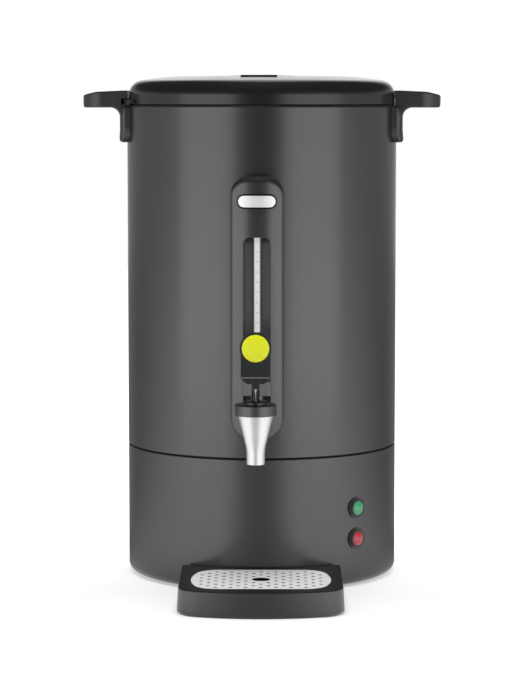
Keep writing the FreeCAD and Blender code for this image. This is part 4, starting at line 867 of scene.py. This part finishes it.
def runTree(tree, given, geometry, values, name):
    # Every tree ends in Realize Instances and Set Material
    real = shapeNode(tree, "RealizeInstances", {"Geometry": geometry})
    finished = shapeNode(tree, "SetMaterial", {"Geometry": real, "Material": given["Finish"]})
    addNode(tree, "NodeGroupOutput", {"Geometry": finished})
    # the modifier gets its values by socket identifier, and its result becomes a plain mesh
    holder = addObject(name, bpy.data.meshes.new(name))
    modifier = holder.modifiers.new("shape", "NODES")
    modifier.node_group = tree
    for item in tree.interface.items_tree:
        if item.item_type == "SOCKET" and item.in_out == "INPUT":
            modifier[item.identifier] = values[item.name]
    bpy.context.view_layer.update()
    graph = bpy.context.evaluated_depsgraph_get()
    mesh = bpy.data.meshes.new_from_object(holder.evaluated_get(graph), depsgraph=graph)
    mesh.name = name
    mesh.materials.clear()
    mesh.materials.append(values["Finish"])
    mesh.polygons.foreach_set("material_index", [0] * len(mesh.polygons))
    holder.modifiers.remove(modifier)
    bpy.data.objects.remove(holder)
    return mesh


def curveCircle(tree, radius, sides):
    return shapeNode(tree, "CurvePrimitiveCircle", {"Resolution": sides, "Radius": radius}, mode="RADIUS")


def joinParts(tree, *parts):
    join = addNode(tree, "GeometryNodeJoinGeometry")
    for part in parts:
        tree.links.new(part, join.inputs["Geometry"])
    return join.outputs[0]


def beadOn(tree, curve, radius, sides, caps=False):
    inputs = {"Curve": curve, "Profile Curve": curveCircle(tree, radius, sides), "Fill Caps": caps}
    return shapeNode(tree, "CurveToMesh", inputs)


def moveBy(tree, geometry, offset):
    return shapeNode(tree, "Transform", {"Geometry": geometry, "Translation": offset})


def meshOf(tree, item):
    info = addNode(tree, "GeometryNodeObjectInfo", {"Object": item}, transform_space="ORIGINAL")
    return info.outputs["Geometry"]


def curveOf(tree, item):
    return shapeNode(tree, "MeshToCurve", {"Mesh": meshOf(tree, item)})


# Drip plate: a sheet with bowed ends, a hem and staggered holes, kept clear of its edge and of the drain

dripPlate = {
    "Sheet": 0.45 * mm,
    "Hole Radius": 1.85 * mm,
    "Pitch X": 7.0 * mm,
    "Pitch Y": 7.7 * mm,
    "Columns": 17,
    "Rows": 11,
    "Clear Edge": 2.5 * mm,
    "Drain Radius": 8.75 * mm,
    "Drain Offset": 1.1 * mm,
    "Bead": 0.16 * mm,
    "holeSides": 14,
    "drainSides": 40,
    "beadSides": 6,
    "length": 131.6 * mm,
    "depth": 98.0 * mm,
    "corner": 22.0 * mm,
    "bow": 120.0 * mm,
    "bowSteps": 8,
    "cornerSteps": 12,
    "straight": 2.0 * mm,
    "wall": 1.0 * mm,
    "hem": 1.6 * mm,
    "weld": 0.01 * mm,
    "middle": (0.0, -189.1 * mm, 22.7 * mm),
    "turn": 1.5,
}


def plateQuarter(setting, inset):
    # One quarter of the edge: half of the bowed end, then the rounded corner
    half, corner = setting["depth"] / 2 - inset, setting["corner"] - inset
    bow, end = setting["bow"] - inset, setting["length"] / 2 - inset
    tilt = math.asin((half - corner - setting["straight"]) / (bow - corner))
    peak = end + bow * (1 / math.cos(tilt) - 1)
    side = peak - half * math.tan(tilt) - corner * math.tan((math.pi / 2 - tilt) / 2)
    points = []
    for step in range(setting["bowSteps"] + 1):
        angle = tilt * step / setting["bowSteps"]
        points.append((end - bow * (1 - math.cos(angle)), bow * math.sin(angle)))
    for step in range(setting["cornerSteps"] + 1):
        angle = tilt + (math.pi / 2 - tilt) * step / setting["cornerSteps"]
        points.append((side + corner * math.cos(angle), half - corner + corner * math.sin(angle)))
    return points


def plateEdge(setting, inset):
    # The whole edge, mirrored from one quarter
    quarter = plateQuarter(setting, inset)
    loop = quarter + [(-x, y) for x, y in reversed(quarter)][:-1]
    loop += [(-x, -y) for x, y in quarter] + [(x, -y) for x, y in reversed(quarter)][:-1]
    return loopObject("plateEdge", [(x, y, 0.0) for x, y in loop])


def holesInPlate(tree, given, sides):
    counts, pitches = (given["Columns"], given["Rows"]), (given["Pitch X"], given["Pitch Y"])
    sizes = [multiply(tree, addMath(tree, "SUBTRACT", count, 1.0), pitch)
             for count, pitch in zip(counts, pitches)]
    grid = shapeNode(tree, "MeshGrid", {
        "Size X": sizes[0], "Size Y": sizes[1], "Vertices X": counts[0], "Vertices Y": counts[1]})
    x, y = splitXYZ(tree, shapeNode(tree, "InputPosition"))[:2]
    # the holes sit on every other place of a chequer
    steps = [addMath(tree, "DIVIDE", addMath(tree, "MULTIPLY_ADD", size, 0.5, along), pitch)
             for size, along, pitch in zip(sizes, (x, y), pitches)]
    odd = addMath(tree, "MODULO", addMath(tree, "ROUND", addMath(tree, "ADD", *steps)), 2.0)
    # and keep their distance from the edge of the sheet and from the drain
    keep = addMath(tree, "ADD", given["Hole Radius"], given["Clear Edge"])
    edge = {"Geometry": meshOf(tree, given["Outer Edge"])}
    reach = addNode(tree, "GeometryNodeProximity", edge, target_element="EDGES")
    outside = addMath(tree, "LESS_THAN", reach.outputs["Distance"], keep)
    fromDrain = joinXYZ(tree, x, addMath(tree, "SUBTRACT", y, given["Drain Offset"]))
    near = addMath(tree, "LESS_THAN", vectorMath(tree, "LENGTH", fromDrain)["Value"],
                   addMath(tree, "ADD", keep, given["Drain Radius"]))
    drop = addMath(tree, "MAXIMUM", addMath(tree, "MAXIMUM", odd, outside), near)
    inputs = {"Geometry": grid, "Selection": addMath(tree, "GREATER_THAN", drop, 0.5)}
    places = shapeNode(tree, "DeleteGeometry", inputs, domain="POINT")
    holes = shapeNode(tree, "InstanceOnPoints", {
        "Points": places, "Instance": curveCircle(tree, given["Hole Radius"], sides)})
    return shapeNode(tree, "RealizeInstances", {"Geometry": holes})


def thickSheet(tree, curves, height, weld):
    # A flat filling of the curves, raised and closed underneath
    fill = shapeNode(tree, "FillCurve", {"Curve": curves}, mode="TRIANGLES")
    inputs = {"Individual": False, "Mesh": fill, "Offset Scale": height}
    raised = shapeNode(tree, "ExtrudeMesh", inputs, mode="FACES")
    both = joinParts(tree, raised, shapeNode(tree, "FlipFaces", {"Mesh": fill}))
    return shapeNode(tree, "MergeByDistance", {"Distance": weld, "Geometry": both})


def makeDripPlate(setting):
    edges = [plateEdge(setting, inset) for inset in (0.0, setting["hem"])]
    values = {**treeValues(setting), "Outer Edge": edges[0], "Inner Edge": edges[1],
              "Hem Height": setting["wall"] - setting["Sheet"], "Finish": finishes["plateSteel"]}
    tree, given = newShape("dripPlateShape", values)
    outer, inner = curveOf(tree, given["Outer Edge"]), curveOf(tree, given["Inner Edge"])
    holes = holesInPlate(tree, given, setting["holeSides"])
    drain = moveBy(tree, curveCircle(tree, given["Drain Radius"], setting["drainSides"]),
                   joinXYZ(tree, y=given["Drain Offset"]))
    sheet = thickSheet(tree, joinParts(tree, outer, holes, drain), given["Sheet"], setting["weld"])
    sheet = moveBy(tree, sheet, joinXYZ(tree, z=given["Hem Height"]))
    hem = thickSheet(tree, joinParts(tree, outer, inner), given["Hem Height"], setting["weld"])
    # a rounded bead stands round the drain
    top = addMath(tree, "ADD", given["Hem Height"], given["Sheet"])
    lift = joinXYZ(tree, z=addMath(tree, "SUBTRACT", top, given["Bead"]))
    bead = beadOn(tree, moveBy(tree, drain, lift), given["Bead"], setting["beadSides"])
    mesh = runTree(tree, given, joinParts(tree, sheet, hem, bead), values, "dripPlate")
    for edge in edges:
        bpy.data.objects.remove(edge)
    turn = Matrix.Rotation(math.radians(setting["turn"]), 4, "Z")
    mesh.transform(turn @ Matrix.Translation(setting["middle"]))
    return addPiece("drip_plate_punched", mesh, "plate", "plateSteel", ("drip_plate",))


plate = makeDripPlate(dripPlate)
print("drip plate punched:", len(plate.data.polygons), "faces")


# White scale strip in the bore of the sight tube, with a mark at every level

levelScale = {
    "Strip Radius": 3.15 * mm,
    "Mark Count": 9,
    "Mark Pitch": 9.6 * mm,
    "Mark Height": 0.5 * mm,
    "Mark Wide": 1.1,        # of the strip's radius
    "Mark Deep": 0.6,        # of the mark's height
    "stripWall": 0.25 * mm,
    "halfTurn": 84.0,        # degrees either side of the back
    "steps": 14,
    "low": 197.0 * mm,
    "high": 351.0 * mm,
    "tubeY": -146.0 * mm,
    "markFirst": 262.0 * mm,
    "markInset": 0.9 * mm,
}


def makeScaleStrip(setting):
    half, steps = setting["halfTurn"], setting["steps"]
    turns = [math.radians(90.0 - half + 2 * half * step / steps) for step in range(steps + 1)]
    rings = [[(radius * math.cos(turn), setting["tubeY"] + radius * math.sin(turn)) for turn in turns]
             for radius in (setting["Strip Radius"], setting["Strip Radius"] - setting["stripWall"])]
    build = bmesh.new()
    prism(build, rings[0] + rings[1][::-1], setting["low"], setting["high"])
    # the strip's finish glows a little: painted light
    addPiece("gauge_scale_strip", finishMesh(build, "scaleStrip"), "urn", "scaleEnamel")


def makeScaleMarks(setting):
    values = {**treeValues(setting), "Finish": finishes["scaleInk"]}
    tree, given = newShape("scaleMarks", values)
    inputs = {"Count": given["Mark Count"], "Offset": joinXYZ(tree, z=given["Mark Pitch"])}
    line = shapeNode(tree, "MeshLine", inputs, mode="OFFSET")
    size = joinXYZ(tree, multiply(tree, given["Strip Radius"], given["Mark Wide"]),
                   multiply(tree, given["Mark Height"], given["Mark Deep"]), given["Mark Height"])
    bar = shapeNode(tree, "MeshCube", {"Size": size})
    marks = shapeNode(tree, "InstanceOnPoints", {"Points": line, "Instance": bar})
    mesh = runTree(tree, given, marks, values, "scaleMarks")
    back = setting["tubeY"] + setting["Strip Radius"] - setting["markInset"]
    mesh.transform(Matrix.Translation((0.0, back, setting["markFirst"])))
    addPiece("gauge_scale_marks", mesh, "urn", "scaleInk")


makeScaleStrip(levelScale)
makeScaleMarks(levelScale)
print("level scale laid in the sight tube")


# Screws with a domed head and a cross recess

screwLook = {
    "radius": 3.8 * mm,
    "height": 1.8 * mm,
    "sideShare": 0.45,       # where the side of the head ends, its shoulder and its crown
    "shoulderShare": 0.8,
    "crownShare": 0.6,
    "edge": 0.35 * mm,
    "crossLength": 4.2 * mm,
    "crossWidth": 1.0 * mm,
    "crossDepth": 1.1 * mm,
    "crossTaper": 0.55,
    "threadRadius": 1.95 * mm,
    "sides": 24,
    "seed": 7,
}

# "tip" is for a straight row, which is stood up on its wall afterwards
screwPlaces = {
    "base": {"Pitch Radius": 114.0 * mm, "Count": 6, "First Turn": 0.0, "Seat": 3.0 * mm,
             "thread": 9.0 * mm, "way": -1.0, "body": "urn", "stands": "base_screws"},
    "liner": {"Pitch Radius": 62.0 * mm, "Count": 4, "First Turn": math.radians(45.0), "Seat": 469.5 * mm,
              "thread": 6.0 * mm, "way": -1.0, "body": "lid", "stands": "liner_screws"},
    "panel": {"Pitch Radius": 80.0 * mm, "Count": 2, "First Turn": 0.0, "Seat": 0.0,
              "thread": 8.0 * mm, "way": 1.0, "body": "urn", "stands": "panel_screws",
              "tip": (math.radians(-90.0), 137.6 * mm, 106.0 * mm)},
}


def makeScrew(look, thread):
    # The head sits with its seat on z = 0 and looks up, the thread goes down
    radius, height = look["radius"], look["height"]
    profile = [(look["threadRadius"], -thread), (look["threadRadius"], 0.0), (radius, 0.0),
               (radius, height * look["sideShare"]),
               (radius - look["edge"], height * look["shoulderShare"]),
               (radius * look["crownShare"], height)]
    build = bmesh.new()
    rings = [[build.verts.new((reach * math.cos(turn), reach * math.sin(turn), level))
              for turn in roundTurns(look["sides"])] for reach, level in profile]
    for low, high in zip(rings, rings[1:]):
        wallBetween(build, low, high)
    build.faces.new(rings[0][::-1])
    crossRecess(build, rings[-1], look)
    return finishMesh(build, "screwShape")


def crossRecess(build, rim, look):
    # The rim of the crown is joined to a cross whose floor lies lower
    long, wide, taper = look["crossLength"] / 2, look["crossWidth"] / 2, look["crossTaper"]
    arms = []
    for quarter in range(4):
        turn = Matrix.Rotation(quarter * math.pi / 2, 2)
        arms += [turn @ Vector(corner) for corner in ((long, -wide), (long, wide), (wide, wide))]
    top = [build.verts.new((x, y, look["height"])) for x, y in arms]
    floor = [build.verts.new((x * taper, y * taper, look["height"] - look["crossDepth"])) for x, y in arms]
    wallBetween(build, top, floor)
    build.faces.new(floor)
    edges = [build.edges.get(pair) for ring in (top, rim) for pair in pairsRound(ring)]
    bmesh.ops.triangle_fill(build, edges=edges, use_beauty=True)


def makeScrewRow(name, place, look):
    screwMesh = makeScrew(look, place["thread"])
    if place["way"] < 0:
        screwMesh.transform(Matrix.Rotation(math.pi, 4, "X"))
    screw = addObject(name + "Screw", screwMesh)
    values = {**treeValues(place), "Screw": screw, "Finish": finishes["zincPlate"]}
    tree, given = newShape(name + "ScrewRow", values)
    count, pitch = given["Count"], given["Pitch Radius"]
    if "tip" in place:
        inputs = {"Offset": joinXYZ(tree, y=pitch), "Count": count}
        places = shapeNode(tree, "MeshLine", inputs, mode="OFFSET")
    else:
        places = shapeNode(tree, "MeshCircle", {"Vertices": count, "Radius": pitch})
    spun = shapeNode(tree, "Transform", {
        "Geometry": places, "Rotation": joinXYZ(tree, z=given["First Turn"]),
        "Translation": joinXYZ(tree, z=given["Seat"])})
    # every screw stops at its own angle
    inputs = {2: 0.0, 3: math.pi, "Seed": look["seed"]}
    turn = addNode(tree, "FunctionNodeRandomValue", inputs, data_type="FLOAT").outputs[1]
    row = shapeNode(tree, "InstanceOnPoints", {
        "Points": spun, "Instance": meshOf(tree, given["Screw"]), "Rotation": joinXYZ(tree, z=turn)})
    mesh = runTree(tree, given, row, values, name + "Screws")
    if "tip" in place:
        angle, back, level = place["tip"]
        mesh.transform(Matrix.Translation((0.0, back, level)) @ Matrix.Rotation(angle, 4, "X"))
    bpy.data.objects.remove(screw)
    addPiece(name + "_screw_row", mesh, place["body"], "zincPlate", (place["stands"],))


for rowName, rowPlace in screwPlaces.items():
    makeScrewRow(rowName, rowPlace, screwLook)
print("screw rows driven in")


# Near-black beads laid along a closed line: painted shadow lines in the gaps round the badge and under the
# lid

badgeShadowLine = {
    "Bead Radius": 0.90 * mm,
    "Bead Sides": 8,
    "halfLength": 18.2 * mm,
    "halfHeight": 6.1 * mm,
    "level": 377.0 * mm,
    "faceRadius": 60.5 * mm,
    "faceMiddle": -95.0 * mm,
    "endSteps": 14,
    "sideSteps": 12,
}

lidShadowLine = {
    "Bead Radius": 0.36 * mm,
    "Bead Sides": 6,
    "radius": 131.9 * mm,
    "level": 467.42 * mm,
    "steps": 180,
}


def badgePoints(setting):
    # Points along a stadium, each set on the round face
    half, end = setting["halfLength"], setting["halfHeight"]
    flat = []
    for side in (1.0, -1.0):
        for step in range(setting["endSteps"]):
            angle = math.pi * (step / setting["endSteps"] - 0.5)
            flat.append((side * (half - end + end * math.cos(angle)), side * end * math.sin(angle)))
        for step in range(setting["sideSteps"]):
            share = step / setting["sideSteps"]
            flat.append((side * (half - end) * (1 - 2 * share), side * end))
    face, middle, level = setting["faceRadius"], setting["faceMiddle"], setting["level"]
    return [(x, middle - math.sqrt(face ** 2 - x ** 2), level + z) for x, z in flat]


def ringPoints(setting):
    radius, level = setting["radius"], setting["level"]
    return [(radius * math.cos(turn), radius * math.sin(turn), level)
            for turn in roundTurns(setting["steps"])]


def makeBead(name, loop, setting, body):
    line = loopObject(name + "Line", loop)
    values = {**treeValues(setting), "Line": line, "Finish": finishes["seamRubber"]}
    tree, given = newShape(name + "Shape", values)
    bead = beadOn(tree, curveOf(tree, given["Line"]), given["Bead Radius"], given["Bead Sides"])
    mesh = runTree(tree, given, bead, values, name)
    bpy.data.objects.remove(line)
    addPiece(name, mesh, body, "seamRubber")


# both beads are painted shadow lines
makeBead("badge_rim", badgePoints(badgeShadowLine), badgeShadowLine, "urn")
makeBead("lid_foot_bead", ringPoints(lidShadowLine), lidShadowLine, "lid")
print("beads laid round the badge and under the lid")


# Block that holds the foot of the sight tube and fills the width of the channel

gaugeBlock = {
    "halfWidth": 12.8 * mm,
    "front": -154.4 * mm,
    "back": -138.2 * mm,
    "low": 193.0 * mm,
    "high": 206.0 * mm,
    "corner": 1.0 * mm,
    "edge": 0.3 * mm,
    "edgeSteps": 3,
    "steps": 6,
}


def makeGaugeBlock(setting):
    half, corner = setting["halfWidth"], setting["corner"]
    flat = [(half, setting["back"]), (-half, setting["back"])]
    for middle, first in ((-half + corner, math.pi), (half - corner, 1.5 * math.pi)):
        for step in range(setting["steps"] + 1):
            angle = first + math.pi / 2 * step / setting["steps"]
            flat.append((middle + corner * math.cos(angle),
                         setting["front"] + corner + corner * math.sin(angle)))
    build = bmesh.new()
    rings = prism(build, flat, setting["low"], setting["high"])
    edges = [build.edges.get(pair) for both in zip(*map(pairsRound, rings)) for pair in both]
    bmesh.ops.bevel(build, geom=edges, offset=setting["edge"], segments=setting["edgeSteps"],
                    affect="EDGES", profile=0.5)
    # its light grey finish is painted light
    addPiece("gauge_foot_block", finishMesh(build, "gaugeBlock"), "urn", "gaugeGrey",
             ("gauge_nut",))


makeGaugeBlock(gaugeBlock)
print("block set under the sight tube")


# Lip along the foot of the lever block, in light grey: a painted highlight on the edge of the block

lipBar = {
    "halfLength": 13.0 * mm,
    "radius": 0.7 * mm,
    "place": (0.0, -193.1 * mm, 214.6 * mm),
    "sides": 14,
    "endSteps": 4,
}


def makeLipBar(setting):
    # A round bar along X with domed ends
    half, radius = setting["halfLength"], setting["radius"]
    angles = [math.pi / 2 * step / setting["endSteps"] for step in range(1, setting["endSteps"] + 1)]
    profile = [(half - radius + radius * math.cos(angle), radius * math.sin(angle)) for angle in angles]
    profile += [(-x, reach) for x, reach in reversed(profile)]
    build = bmesh.new()
    rings = [[build.verts.new((x, reach * math.cos(turn), reach * math.sin(turn)))
              for turn in roundTurns(setting["sides"])] for x, reach in profile]
    for first, second in zip(rings, rings[1:]):
        wallBetween(build, first, second)
    for ring, tip in ((rings[0], half), (rings[-1], -half)):
        point = build.verts.new((tip, 0.0, 0.0))
        for first, second in pairsRound(ring):
            build.faces.new((first, second, point))
    mesh = finishMesh(build, "lipBar")
    mesh.transform(Matrix.Translation(setting["place"]))
    mesh.polygons.foreach_set("use_smooth", [True] * len(mesh.polygons))
    addPiece("lever_lip", mesh, "lever", "leverLip")


makeLipBar(lipBar)
print("lip laid along the lever")


# Return spring of the tap: a coil of wire wound round the axis of the stem

coilSpring = {
    "Coil Radius": 5.05 * mm,
    "Wire": 0.5 * mm,
    "Turns": 6.5,
    "Wire Sides": 8,
    "Steps": 26,
    "axisY": -188.0 * mm,
}


def makeCoilSpring(setting):
    low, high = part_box("valve_spring")
    foot, top = low[2] + setting["Wire"], high[2] - setting["Wire"]
    values = {**treeValues(setting), "Rise": top - foot, "Finish": finishes["stemSteel"]}
    tree, given = newShape("coilSpring", values)
    coil = shapeNode(tree, "CurveSpiral", {
        "Resolution": given["Steps"], "Rotations": given["Turns"], "Start Radius": given["Coil Radius"],
        "End Radius": given["Coil Radius"], "Height": given["Rise"]})
    wire = beadOn(tree, coil, given["Wire"], given["Wire Sides"], caps=True)
    mesh = runTree(tree, given, wire, values, "coilSpring")
    mesh.transform(Matrix.Translation((0.0, setting["axisY"], foot)))
    spring = addPiece("valve_spring_coil", mesh, "urn", "stemSteel", ("valve_spring",))
    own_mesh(spring)


makeCoilSpring(coilSpring)
print("return spring wound")


print("urn dressed over its frame")
